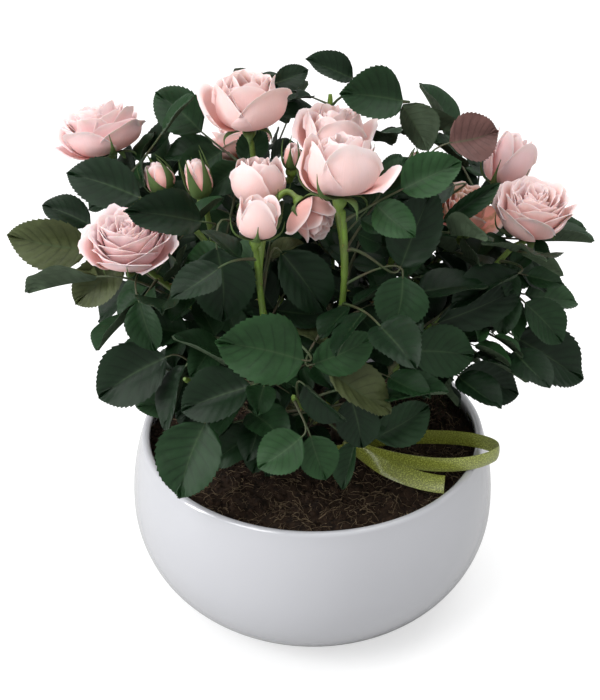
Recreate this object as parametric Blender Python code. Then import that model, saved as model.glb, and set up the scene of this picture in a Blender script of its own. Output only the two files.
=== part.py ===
"""A miniature rose bush in a round glazed bowl.

The bowl is turned from a profile and filled with peat. Four short woody stocks
stand in the peat and fork into green canes. Each cane ends where it enters a
mass of foliage: a stem that grows on from the cane, flower stalks, and compound
leaves set round the stem by a seeded rule. Each open rose is a body of its own,
and the buds and calyxes belong to the masses. A satin ribbon is tied round the
stocks and lies over the rim.

Lengths are in millimetres until a mesh is made. +Z is up, the origin is the
centre of the bowl's underside and the side that faces -Y is the front.
"""

import math
import random

import bmesh
import bpy
from mathutils import Quaternion, Vector
from mathutils.bvhtree import BVHTree

MM = 0.001
GAP = 0.3  # clear distance between neighbouring bodies
SEED = 37

# Bowl
BOWL_RADIUS = 100.0
BOWL_WAIST_Z = 56.0  # height of the widest ring
BOWL_HEIGHT = 98.0
BOWL_FOOT_RADIUS = 52.0
BOWL_RIM_RADIUS = 92.5
BOWL_WALL = 4.5
BOWL_FLOOR = 6.0
BOWL_SIDES = 36

# Peat
SOIL_Z = 88.0
SOIL_CLEAR = 0.6
FACET_SAG = 0.9  # how far the bowl's flat facets stand inside its round
STOCK_PATCH = 26.0  # the peat is level within this radius

# Canes and leaves
FORK_APART = 56  # degrees between two canes of one stock
BLADE_THICK = 1.1
STALK = 0.85  # half the thickness of a leaf's stalk
PAIRS = ((0.46, 0.80, 0.46), (0.88, 0.68, 0.30))  # side blades: place, size, forward lean
LEVELS = 9  # leaves sprung along each stem by the rule
ATTEMPTS = 8  # turns that each of them may take to find room
GOLDEN_ANGLE = 137.5
SLIDES = (0, 4, -4, 8, -8, 13, -13, 18, -18)  # toward the light
STALK_SHIFTS = (0, -0.08, 0.08, -0.16, 0.16, -0.24)  # along the cane
CROWN_CENTRE = Vector((-4, 2, 196))
CROWN_REACH = Vector((152, 112, 112))
OPEN_STALKS = ("front_bud", "centre_right")  # canes whose upper stalks stay in view
STALK_VIEW = 7.0  # clear half width in front of them

# Ribbon
RIBBON_WIDE = 9.5
RIBBON_THICK = 0.8
RIBBON_KNOT = Vector((21, -18, 96.5))

UP = Vector((0, 0, 1))
FRONT = Vector((0, -1, 0))
OPEN_SKY = Vector((0, -0.85, 0.52))  # the blooms keep this side of them clear of leaves

COLOURS = {
    "glaze": ((0.80, 0.81, 0.83), 0.12),
    "peat": ((0.035, 0.022, 0.015), 0.95),
    "bark": ((0.10, 0.075, 0.04), 0.75),
    "green bark": ((0.12, 0.20, 0.045), 0.5),
    "leaf": ((0.028, 0.075, 0.032), 0.45),
    "petal": ((0.78, 0.46, 0.42), 0.6),
    "satin": ((0.23, 0.27, 0.02), 0.35),
}

# Stocks: foot on the peat (x, y) and the height of the fork above the peat.
STOCKS = {
    "left": (-13, 5, 18),
    "front": (-4, -12, 17),
    "right": (14, -3, 18),
    "back": (3, 13, 19),
}

# Canes: stock, the calyx or leafy tip that the cane reaches, its heading and
# lift there in degrees, and how much of its length is bare before the foliage.
CANES = {
    "left_high": ("left", (-103, 22, 248), (172, 62), 0.32),
    "left_low": ("left", (-88, -27, 215), (215, 48), 0.30),
    "left_buds": ("left", (-54, -8, 238), (150, 76), 0.36),
    "front_left": ("front", (-62, -62, 168), (222, 42), 0.26),
    "front_low": ("front", (-10, -74, 166), (265, 50), 0.26),
    "front_bud": ("front", (-27, -54, 239), (262, 82), 0.32),
    "centre_left": ("back", (-31.5, 7, 268), (190, 82), 0.34),
    "centre_right": ("right", (11, -46, 256), (209, 78), 0.32),
    "leafy_top": ("back", (8, 27, 277), (85, 84), 0.36),
    "red_shoot": ("back", (50, 9, 243), (30, 76), 0.34),
    "right_front": ("right", (105, -8, 220), (345, 58), 0.32),
    "right_back": ("right", (94.5, 24, 230), (20, 62), 0.36),
    "right_low": ("right", (92, 4, 164), (0, 20), 0.28),
    "back_left": ("left", (-38, 76, 222), (115, 70), 0.30),
    "back_mid": ("back", (62, 66, 196), (50, 44), 0.28),
    "back_right": ("back", (16, 82, 218), (80, 66), 0.30),
}

# Open roses: cane, fraction of the cane where the stalk leaves it (1 is its
# tip), base, heading and lift of the axis, radius, height and openness.
ROSES = {
    "left_high": ("left_high", 1, None, (145, 72), 22.0, 27, 0.9),
    "left_low": ("left_low", 1, None, (248, 79), 22.0, 25, 1.0),
    "centre_left": ("centre_left", 1, None, (200, 87), 20.0, 27, 0.55),
    "centre_front": ("centre_left", 0.74, (-26, -18, 240), (100, 80), 15.5, 22, 0.5),
    "front_bud": ("front_bud", 1, None, (60, 80), 12.0, 20, 0.3),
    "centre_low": ("front_bud", 0.80, (-6, -28, 243), (315, -30), 12.0, 18, 0.4),
    "centre_right": ("centre_right", 1, None, (90, 77), 19.5, 27, 0.55),
    "centre_back": ("centre_right", 0.70, (9, 0, 256), (90, 86), 17.0, 25, 0.6),
    "right_front": ("right_front", 1, None, (295, 80), 19.5, 27, 1.0),
    "right_back": ("right_back", 1, None, (20, 70), 13.0, 29, 0.4),
    "right_faded": ("right_back", 0.72, (76.5, 11, 213), (255, 72), 13.5, 26, 0.6),
    "back_left": ("back_left", 1, None, (115, 62), 17.5, 25, 0.8),
    "back_right": ("back_right", 1, None, (80, 60), 17.0, 24, 0.7),
}

# Buds: cane, fraction where the stalk leaves it, base, heading and lift,
# length and radius.
BUDS = [
    ("left_buds", 1, None, (140, 72), 20, 6.5),
    ("left_buds", 0.70, (-73, 3, 236), (165, 62), 16, 7.5),
    ("red_shoot", 1, None, (100, 84), 11, 4.2),
    ("centre_left", 0.86, (-11, -5, 252), (300, 84), 13, 4.5),
    ("back_mid", 1, None, (95, 60), 16, 6.0),
]

# Leaves that give the crown its outline: cane, fraction where the petiole
# leaves it, base and tip of the end blade, width over length, roll in degrees,
# pairs of side blades.
SET_LEAVES = [
    ("left_high", 0.80, (-84, -4, 235), (-120, 0, 247), 0.62, 0, 1),
    ("left_high", 0.66, (-112, 6, 216), (-137, 12, 225), 0.60, 10, 0),
    ("left_low", 0.70, (-112, 0, 205), (-153, 0, 213), 0.60, -10, 1),
    ("left_low", 0.60, (-106, -14, 197), (-145, -6, 188), 0.60, 68, 1),
    ("left_low", 0.92, (-83, -48, 203), (-75, -60, 182), 0.62, 20, 0),
    ("left_buds", 0.82, (-52, -40, 240), (-84, -58, 254), 0.50, 0, 0),
    ("left_buds", 0.62, (-48, 20, 250), (-76, 26, 245), 0.55, 20, 0),
    ("front_left", 0.66, (-72, -42, 168), (-108, -46, 146), 0.70, 0, 1),
    ("front_left", 0.95, (-52, -70, 149), (-66, -89, 117), 0.80, 0, 1),
    ("front_left", 0.70, (-62, -50, 168), (-76, -56, 134), 0.60, 65, 0),
    ("front_left", 0.60, (-30, -55, 160), (-64, -60, 149), 0.68, 10, 1),
    ("front_left", 1.00, (-40, -70, 180), (-64, -71, 201), 0.60, 66, 0),
    ("centre_left", 0.55, (-45, -50, 232), (-42, -64, 200), 0.82, 0, 0),
    ("front_bud", 0.90, (-42, -48, 236), (-24, -62, 219), 0.55, 30, 0),
    ("front_bud", 0.62, (-5, -79, 189), (-44, -88, 204), 0.72, 0, 1),
    ("front_bud", 0.72, (-16, -42, 226), (6, -44, 194), 0.62, 0, 0),
    ("centre_right", 0.58, (-1, -80, 187), (28, -80, 202), 0.60, 30, 1),
    ("centre_right", 0.80, (40, -44, 218), (54, -39, 256), 0.58, 0, 0),
    ("centre_right", 0.66, (41, -48, 216), (37, -58, 192), 0.95, 0, 0),
    ("centre_right", 0.44, (6, -66, 177), (38, -71, 155), 0.66, -25, 1),
    ("front_low", 1.00, (-6, -84, 150), (-27, -92, 138), 0.85, 0, 0),
    ("front_low", 0.92, (-2, -84, 150), (6, -94, 131), 0.85, 0, 0),
    ("front_low", 0.80, (-5, -76, 174), (14, -80, 154), 0.60, 62, 0),
    ("front_low", 0.60, (20, -68, 136), (13, -76, 112), 0.45, 30, 0),
    ("front_low", 0.80, (17, -62, 158), (23, -66, 130), 0.70, 0, 0),
    ("front_low", 0.70, (30, -60, 132), (58, -46, 142), 0.62, 20, 1),
    ("red_shoot", 0.90, (64, -4, 264), (88, 0, 269), 0.95, 0, 0),
    ("red_shoot", 0.75, (66, -18, 248), (38, -24, 243), 0.62, 20, 1),
    ("right_front", 0.72, (60, -34, 182), (106, -16, 193), 0.36, 25, 0),
    ("right_front", 0.84, (100, -16, 200), (66, -26, 187), 0.36, 40, 0),
    ("right_front", 0.70, (49, -25, 199), (66, -22, 176), 0.75, 0, 0),
    ("right_front", 0.60, (46, -40, 170), (80, -32, 162), 0.70, 0, 1),
    ("right_back", 0.62, (62, -2, 220), (90, 4, 238), 0.30, 20, 0),
    ("right_low", 0.95, (104, -5, 158), (144, -10, 134), 0.66, 0, 1),
    ("right_low", 0.70, (76, -14, 140), (110, -11, 125), 0.62, 15, 1),
    ("leafy_top", 1.00, (18, 4, 293), (-3, 0, 305), 0.60, 10, 1),
    ("leafy_top", 0.92, (42, 4, 282), (12, -5, 289), 0.75, 0, 1),
    ("leafy_top", 0.84, (-19, 14, 290), (-3, 14, 297), 0.70, 20, 1),
]


# --- small geometry helpers -------------------------------------------------


def direction(heading, lift):
    """Unit vector from a heading round +Z and a lift above the level, in degrees."""
    h, e = math.radians(heading), math.radians(lift)
    return Vector((math.cos(h) * math.cos(e), math.sin(h) * math.cos(e), math.sin(e)))


def bezier(a, b, c, d, t):
    s = 1 - t
    return a * s**3 + b * (3 * s * s * t) + c * (3 * s * t * t) + d * t**3


def across(axis, hint):
    """The part of hint square to axis, as a unit vector."""
    flat = hint - axis * hint.dot(axis)
    if flat.length < 1e-3:
        flat = axis.orthogonal()
    return flat.normalized()


def tube(path, radii, sides, hint=FRONT):
    """A closed limb: one ring of vertices about each point of the path."""
    verts, faces = [], []
    side = None
    for i, point in enumerate(path):
        ahead = path[min(i + 1, len(path) - 1)] - path[max(i - 1, 0)]
        axis = ahead.normalized()
        side = across(axis, hint if side is None else side)
        other = axis.cross(side)
        for k in range(sides):
            turn = 2 * math.pi * k / sides
            verts.append(point + (side * math.cos(turn) + other * math.sin(turn)) * radii[i])
    for i in range(len(path) - 1):
        for k in range(sides):
            a, b = i * sides + k, i * sides + (k + 1) % sides
            faces.append((a, b, b + sides, a + sides))
    faces.append(tuple(reversed(range(sides))))
    faces.append(tuple(range(len(verts) - sides, len(verts))))
    return verts, faces


# Outlines of a blade: how far along it and how far out to its side
BROAD = ((0, 0), (0.30, 0.94), (0.72, 0.74), (1, 0), (0.72, -0.74), (0.30, -0.94))
PLAIN = ((0, 0), (0.40, 0.94), (1, 0), (0.40, -0.94))


def blade(base, tip, face, width, outline=BROAD, thick=BLADE_THICK, fold=0.09, curl=0.10):
    """A leaf blade, folded up along its midrib, with its tip turned down."""
    run = tip - base
    length = run.length
    along = run.normalized()
    face = across(along, face)
    side = along.cross(face)
    half = width * length / 2
    verts = []
    for at, out in outline:
        lift = fold * half * abs(out) - curl * length * max(0, at - 0.4) ** 2
        verts.append(base + along * (at * length) + side * (out * half) + face * lift)
    middle = base + along * (0.46 * length) - face * (fold * half * 0.5)
    verts += [middle + face * (thick / 2), middle - face * (thick / 2)]
    faces = []
    count = len(outline)
    for k in range(count):
        n = (k + 1) % count
        faces += [(count, k, n), (count + 1, n, k)]
    return verts, faces


# --- keeping clear ----------------------------------------------------------


class Room:
    """The bodies placed so far, asked whether a new one would touch them."""

    def __init__(self):
        self.taken = []

    def add(self, tag, solid):
        verts, faces = solid
        low = Vector(min(v[i] for v in verts) for i in range(3))
        high = Vector(max(v[i] for v in verts) for i in range(3))
        self.taken.append((tag, low, high, BVHTree.FromPolygons(verts, faces)))

    def clear(self, solid, but=()):
        """Whether a solid touches none of the bodies, save those with the given tags."""
        verts, faces = solid
        low = Vector(min(v[i] for v in verts) for i in range(3))
        high = Vector(max(v[i] for v in verts) for i in range(3))
        tree = None
        for tag, other_low, other_high, other in self.taken:
            if tag in but or any(low[i] > other_high[i] or high[i] < other_low[i] for i in range(3)):
                continue
            tree = tree or BVHTree.FromPolygons(verts, faces)
            if tree.overlap(other):
                return False
        return True


# --- bowl and peat ----------------------------------------------------------


def bowl_radius(z):
    """Outer radius of the bowl at a height."""
    if z <= BOWL_WAIST_Z:
        drop = (BOWL_WAIST_Z - z) / BOWL_WAIST_Z
        swell = math.sqrt(max(0.0, 1 - drop**2))
        return BOWL_FOOT_RADIUS + (BOWL_RADIUS - BOWL_FOOT_RADIUS) * swell
    edge = math.acos(BOWL_RIM_RADIUS / BOWL_RADIUS)
    rise = (z - BOWL_WAIST_Z) / (BOWL_HEIGHT - BOWL_WAIST_Z) * math.sin(edge)
    return BOWL_RADIUS * math.sqrt(1 - rise**2)


def bowl_profile():
    """(radius, height) from the floor's middle up the inside, over the lip and down the outside."""
    heights = [BOWL_WAIST_Z * (1 - math.cos(math.pi / 2 * k / 6)) for k in range(7)]
    outside = [(bowl_radius(z), z) for z in (*heights, 78, BOWL_HEIGHT - 2)]
    inside = [(BOWL_FOOT_RADIUS - BOWL_WALL, BOWL_FLOOR)]
    inside += [(bowl_radius(z) - BOWL_WALL, z) for z in (16, 34, 56, 78, BOWL_HEIGHT - 2)]
    lip = [(BOWL_RIM_RADIUS - BOWL_WALL * share, BOWL_HEIGHT) for share in (0.72, 0.28)]
    return [(0, BOWL_FLOOR)] + inside + lip + outside[::-1] + [(0, 0)]


def soil_height(x, y):
    """The peat's surface: level about the stocks, rough outside, with a clump at the back right."""
    reach = math.hypot(x, y)
    rough = min(1, max(0, (reach - STOCK_PATCH) / 18))
    waves = math.sin(x * 0.19 + 1.3) * math.cos(y * 0.23 - 0.4) + 0.6 * math.sin(x * 0.07 - y * 0.11)
    clump = 13 * math.exp(-((x - 66) ** 2 + (y - 44) ** 2) / 260)
    return SOIL_Z + rough * (1.4 * waves - 3.0 * (reach / 88) ** 2) + clump


def soil_solid():
    """The peat that fills the bowl, clear of its wall."""
    sides = 24
    clear = BOWL_WALL + SOIL_CLEAR
    walls = [(BOWL_FOOT_RADIUS - clear, BOWL_FLOOR + GAP)]
    clear += FACET_SAG
    for z in (16, 34, 56, 78):
        walls.append((bowl_radius(z) - clear, z))
    verts, faces = [], []
    for r, z in walls:
        for k in range(sides):
            turn = 2 * math.pi * k / sides
            verts.append(Vector((r * math.cos(turn), r * math.sin(turn), z)))
    edge = bowl_radius(86) - clear
    tops = (edge, 76, 58, 40, 22)
    for r in tops:
        for k in range(sides):
            turn = 2 * math.pi * k / sides
            z = soil_height(r * math.cos(turn), r * math.sin(turn))
            inside = min(r, bowl_radius(min(z, BOWL_HEIGHT)) - clear)
            verts.append(Vector((inside * math.cos(turn), inside * math.sin(turn), z)))
    rings = len(walls) + len(tops)
    for i in range(rings - 1):
        for k in range(sides):
            a, b = i * sides + k, i * sides + (k + 1) % sides
            faces.append((a, b, b + sides, a + sides))
    faces.append(tuple(reversed(range(sides))))
    faces.append(tuple(range(len(verts) - sides, len(verts))))
    return verts, faces


# --- limbs ------------------------------------------------------------------


class Cane:
    """One cane's curve from its fork to its tip, and where its foliage begins."""

    def __init__(self, name, fork):
        _, tip, lean, bare = CANES[name]
        head, start = fork
        self.name = name
        self.start, self.end = start, Vector(tip)
        self.lean = direction(*lean)
        self.bare = bare
        span = (self.end - self.start).length
        out = across(UP, start - head)
        rise = (out * 0.75 + UP * 0.65).normalized()
        if self.end.z > 190:
            rise = (out * 0.55 + UP * 0.85).normalized()
        self.first = self.start + rise * span * 0.36
        self.second = self.end - self.lean * span * 0.34

    def at(self, t):
        return bezier(self.start, self.first, self.second, self.end, t)

    def ahead(self, t):
        return (self.at(min(1, t + 0.02)) - self.at(max(0, t - 0.02))).normalized()

    def radius(self, t):
        return 2.5 - 0.9 * t

    def run(self, t0, t1, count):
        return [self.at(t0 + (t1 - t0) * i / count) for i in range(count + 1)]


def forks():
    """Where each cane leaves its stock: they fan round its head, FORK_APART degrees apart or more."""
    found = {}
    for stock, (x, y, height) in STOCKS.items():
        head = Vector((x, y, SOIL_Z + height))
        heading = {}
        for name, (owner, tip, _, _) in CANES.items():
            if owner == stock:
                heading[name] = math.degrees(math.atan2(tip[1] - y, tip[0] - x))
        names = sorted(heading, key=heading.get)
        for _ in range(60):
            for left, right in zip(names, names[1:] + names[:1]):
                round_again = 360 if right == names[0] else 0
                short = FORK_APART - (heading[right] + round_again - heading[left])
                if short > 0 and left != right:
                    heading[left] -= short / 2
                    heading[right] += short / 2
        for name in names:
            found[name] = (head, head + direction(heading[name], 0) * 9 + UP * 10)
    return found


def stock_pieces(stock, forked):
    """A woody stock and the stub that each of its canes rises from."""
    x, y, height = STOCKS[stock]
    foot = Vector((x, y, SOIL_Z + GAP))
    head = Vector((x, y, SOIL_Z + height))
    pieces = [tube([foot, foot + UP * 4, head + UP * 1.5], [5.4, 4.2, 4.4], 6)]
    for name, row in CANES.items():
        if row[0] == stock:
            stub = forked[name][1] - head
            pieces.append(tube([head - stub * 0.12, head + stub], [3.2, 2.7], 5))
    return pieces


def flower_end(base, axis, size, bud_radius):
    """Points and radii that end a stalk: a hip, then a rose's calyx or the bud itself."""
    long = 3.5 + 0.18 * size
    wide = 1.6 + 0.10 * size
    shape = [(-long, 1.5), (-long * 0.5, wide)]
    if bud_radius:
        shape += [(-0.5, wide * 0.8)]
        swell = ((0.16, 0.80), (0.42, 1.0), (0.74, 0.68), (1.0, 0.14))
        shape += [(size * z, bud_radius * r) for z, r in swell]
    else:
        shape += [(-2.4, wide * 0.95), (-2.8 - size * 0.10, size * 0.48)]
        shape += [(-0.9, wide * 0.85), (0, wide * 0.7)]
    return [base + axis * z for z, _ in shape], [r for _, r in shape]


# Rings of a rose from its foot over the outer petals' rim, down behind them, over
# the inner petals and down to its heart: radius and height as shares of the
# rose's own for a closed goblet and for an open rosette, how far the petals
# overlap in the ring, how high their middles arch, and which layer they are.
ROSE_RINGS = (
    ((0.17, 0.00), (0.17, 0.00), 0.00, 0.00, 0),
    ((0.66, 0.13), (0.74, 0.05), 0.05, 0.00, 0),
    ((0.97, 0.42), (0.98, 0.26), 0.10, 0.00, 0),
    ((0.93, 0.76), (0.97, 0.56), 0.12, 0.07, 0),
    ((0.74, 0.66), (0.80, 0.58), 0.05, 0.00, 1),
    ((0.68, 0.90), (0.72, 0.86), 0.12, 0.06, 1),
    ((0.50, 0.82), (0.52, 0.80), 0.05, 0.00, 2),
    ((0.38, 0.98), (0.34, 0.96), 0.14, 0.05, 2),
)
PETALS = 5
PETAL_STEPS = 3


def rose_solid(base, axis, radius, height, openness):
    """An open rose as one closed body, with a step where each petal laps the next."""
    ring = across(axis, FRONT)
    other = axis.cross(ring)
    foot = base + axis * GAP
    count = PETALS * PETAL_STEPS
    verts, faces = [], []
    for closed, opened, lap, arch, layer in ROSE_RINGS:
        r = closed[0] + (opened[0] - closed[0]) * openness
        z = closed[1] + (opened[1] - closed[1]) * openness
        for k in range(count):
            u = ((k + layer) % PETAL_STEPS) / (PETAL_STEPS - 1)
            wide = radius * r * (1 + lap * (0.5 - u))
            tall = height * (z + arch * (1 - (2 * u - 0.8) ** 2))
            turn = 2 * math.pi * k / count
            verts.append(foot + (ring * math.cos(turn) + other * math.sin(turn)) * wide + axis * tall)
    for i in range(len(ROSE_RINGS) - 1):
        for k in range(count):
            a, b = i * count + k, i * count + (k + 1) % count
            faces.append((a, b, b + count, a + count))
    faces.append(tuple(reversed(range(count))))
    last = len(verts) - count
    verts.append(foot + axis * (height * 0.90))
    for k in range(count):
        faces.append((last + k, last + (k + 1) % count, len(verts) - 1))
    return verts, faces


# --- leaves -----------------------------------------------------------------


class Leaf:
    """A compound leaf: a stalk that ends in one blade, with pairs of side blades along it."""

    def __init__(self, root, out, base, tip, width, roll, pairs, shown=False):
        self.root, self.base, self.tip, self.width = root, base, tip, width
        self.length = (tip - base).length
        self.along = (tip - base) / self.length
        self.reach = (base - root).length
        self.first = root + out * self.reach * 0.42
        self.second = base - self.along * self.reach * 0.36
        outward = Vector((base.x, base.y, 0)).normalized()
        lit = OPEN_SKY + UP * 0.25 if shown else outward * 0.5 + UP * 0.8 + FRONT * 0.25
        face = across(self.along, lit)
        self.face = Quaternion(self.along, math.radians(roll)) @ face
        self.pairs = [
            (1 - back * self.length / self.reach, size, lean)
            for back, size, lean in PAIRS[:pairs]
            if self.reach - back * self.length > 5
        ]

    def at(self, t):
        return bezier(self.root, self.first, self.second, self.base, t)

    def frame(self, t):
        """The stalk's direction, upper face and right side, carried back from the end blade."""
        face = self.face
        for k in range(1, 7):
            place = 1 + (t - 1) * k / 6
            axis = (self.at(place + 0.02) - self.at(place - 0.02)).normalized()
            face = across(axis, face)
        return axis, face, axis.cross(face)

    def blades(self):
        """(base, tip, face, width, outline) of the end blade, then of the side blades by pairs."""
        found = [(self.base, self.tip, self.face, self.width, BROAD)]
        for t, size, lean in self.pairs:
            axis, face, side = self.frame(t)
            for way in (1, -1):
                aim = (axis * lean + side * way - face * 0.06).normalized()
                base = self.at(t) + side * (way * STALK)
                found.append((base, base + aim * (self.length * size), face, self.width * 1.05, PLAIN))
        return found

    def solid(self, kept):
        """Stalk and blades as one closed body: the blades grow out of a three-edged stalk."""
        pairs = [k for k in range(len(self.pairs)) if kept & {1 + 2 * k, 2 + 2 * k}]
        stops = [0.0]
        for k in reversed(pairs):
            half = 1.3 / self.reach
            stops += [self.pairs[k][0] - half, self.pairs[k][0] + half]
        if not pairs:
            stops.append(0.5)
        stops.append(1.0)
        verts, faces, rows = [], [], []
        for t in stops:
            _, face, side = self.frame(t)
            thick = STALK * (1.25 - 0.35 * t)
            point = self.at(t)
            rows.append([len(verts) + k for k in range(3)])
            ridge = point + face * 0.3
            verts += [ridge - side * thick, ridge + side * thick, point - face * thick]
        blades = self.blades()

        def grow_blade(piece, upper, lower):
            """Adds a blade that starts from the stalk's upper and lower points."""
            points = blade(*piece)[0]
            edge = list(range(len(verts), len(verts) + len(points) - 3))
            verts.extend(points[1:])
            top, bottom = len(verts) - 2, len(verts) - 1
            for middle, ring, way in ((top, upper + edge, 1), (bottom, lower + edge, -1)):
                for k in range(len(ring)):
                    faces.append((middle, ring[k], ring[(k + 1) % len(ring)])[::way])

        left, right, down = rows[0]
        faces.append((left, down, right))
        for i in range(len(rows) - 1):
            (l0, r0, d0), (l1, r1, d1) = rows[i], rows[i + 1]
            pair = pairs[len(pairs) - 1 - i // 2] if pairs and i % 2 else None
            faces.append((l0, r0, r1, l1))
            if pair is not None and 1 + 2 * pair in kept:
                grow_blade(blades[1 + 2 * pair], [r1, r0], [r1, d1, d0, r0])
            else:
                faces.append((d0, d1, r1, r0))
            if pair is not None and 2 + 2 * pair in kept:
                grow_blade(blades[2 + 2 * pair], [l0, l1], [l0, d0, d1, l1])
            else:
                faces.append((d0, l0, l1, d1))
        left, right, down = rows[-1]
        grow_blade(blades[0], [left, right], [left, down, right])
        return verts, faces


def probe(piece):
    """A blade a little larger all round, to keep the gap when it is tested."""
    base, tip, face, width, outline = piece
    more = (tip - base) * 0.03
    return blade(base + more, tip + more, face, width * 1.06, outline, BLADE_THICK + 1.0)


def crosses_itself(solid):
    """Whether faces of a body cut each other, each drawn in a little so that neighbours part."""
    verts, faces = solid
    corners = []
    for f in faces:
        for i in range(1, len(f) - 1):
            tri = (verts[f[0]], verts[f[i]], verts[f[i + 1]])
            middle = sum(tri, Vector()) / 3
            corners += [middle.lerp(corner, 0.96) for corner in tri]
    tree = BVHTree.FromPolygons(corners, [(i, i + 1, i + 2) for i in range(0, len(corners), 3)])
    return any(i != j for i, j in tree.overlap(tree))


def in_crown(point):
    """Whether a point is inside the crown's rounded outline."""
    out = point - CROWN_CENTRE
    return sum((out[i] / CROWN_REACH[i]) ** 2 for i in range(3)) < 1


def hides(point, view):
    """Whether the point lies in the light before an open rose or an open stalk."""
    for middle, radius in view:
        out = point - middle
        ahead = out.dot(OPEN_SKY)
        if ahead > 2 and (out - OPEN_SKY * ahead).length < radius:
            return True
    return False


def over_soil(point):
    """Whether a point keeps clear of the peat and the rim."""
    reach = math.hypot(point.x, point.y)
    if reach < BOWL_RADIUS + 6:
        return point.z > BOWL_HEIGHT + 4
    return point.z > BOWL_WAIST_Z


def set_leaf(cane, row, attempt):
    """A leaf of the outline; each attempt slides it in the light, and its stalk along the stem."""
    _, at, base, tip, width, roll, pairs = row
    slide = SLIDES[attempt // len(STALK_SHIFTS)]
    here = min(0.95, max(at + STALK_SHIFTS[attempt % len(STALK_SHIFTS)], cane.bare + 0.04))
    root = cane.at(here)
    base, tip = Vector(base) + OPEN_SKY * slide, Vector(tip) + OPEN_SKY * slide
    out = ((base - root).normalized() + cane.ahead(here) * 0.6).normalized()
    return Leaf(root, out, base, tip, width, roll, pairs, True)


def sprung_leaf(cane, level, attempt):
    """A leaf sprung from the cane by rule, a golden angle on from the level below."""
    chance = random.Random(f"{SEED} {cane.name} {level} {attempt}")
    at = cane.bare + 0.05 + (0.90 - cane.bare) * (level + chance.uniform(0, 0.5)) / LEVELS
    axis = cane.ahead(at)
    turn = 71 * list(CANES).index(cane.name) + GOLDEN_ANGLE * level + 49 * attempt
    out = Quaternion(axis, math.radians(turn)) @ across(axis, FRONT)
    out = (out + axis * chance.uniform(0.2, 0.7)).normalized()
    aim = (out + UP * chance.uniform(-0.55, 0.25)).normalized()
    root = cane.at(at)
    base = root + (out * 0.65 + aim * 0.35) * chance.uniform(22, 44)
    tip = base + aim * chance.uniform(27, 38)
    return Leaf(root, out, base, tip, chance.uniform(0.62, 0.72), chance.uniform(-30, 30), 2)


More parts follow.
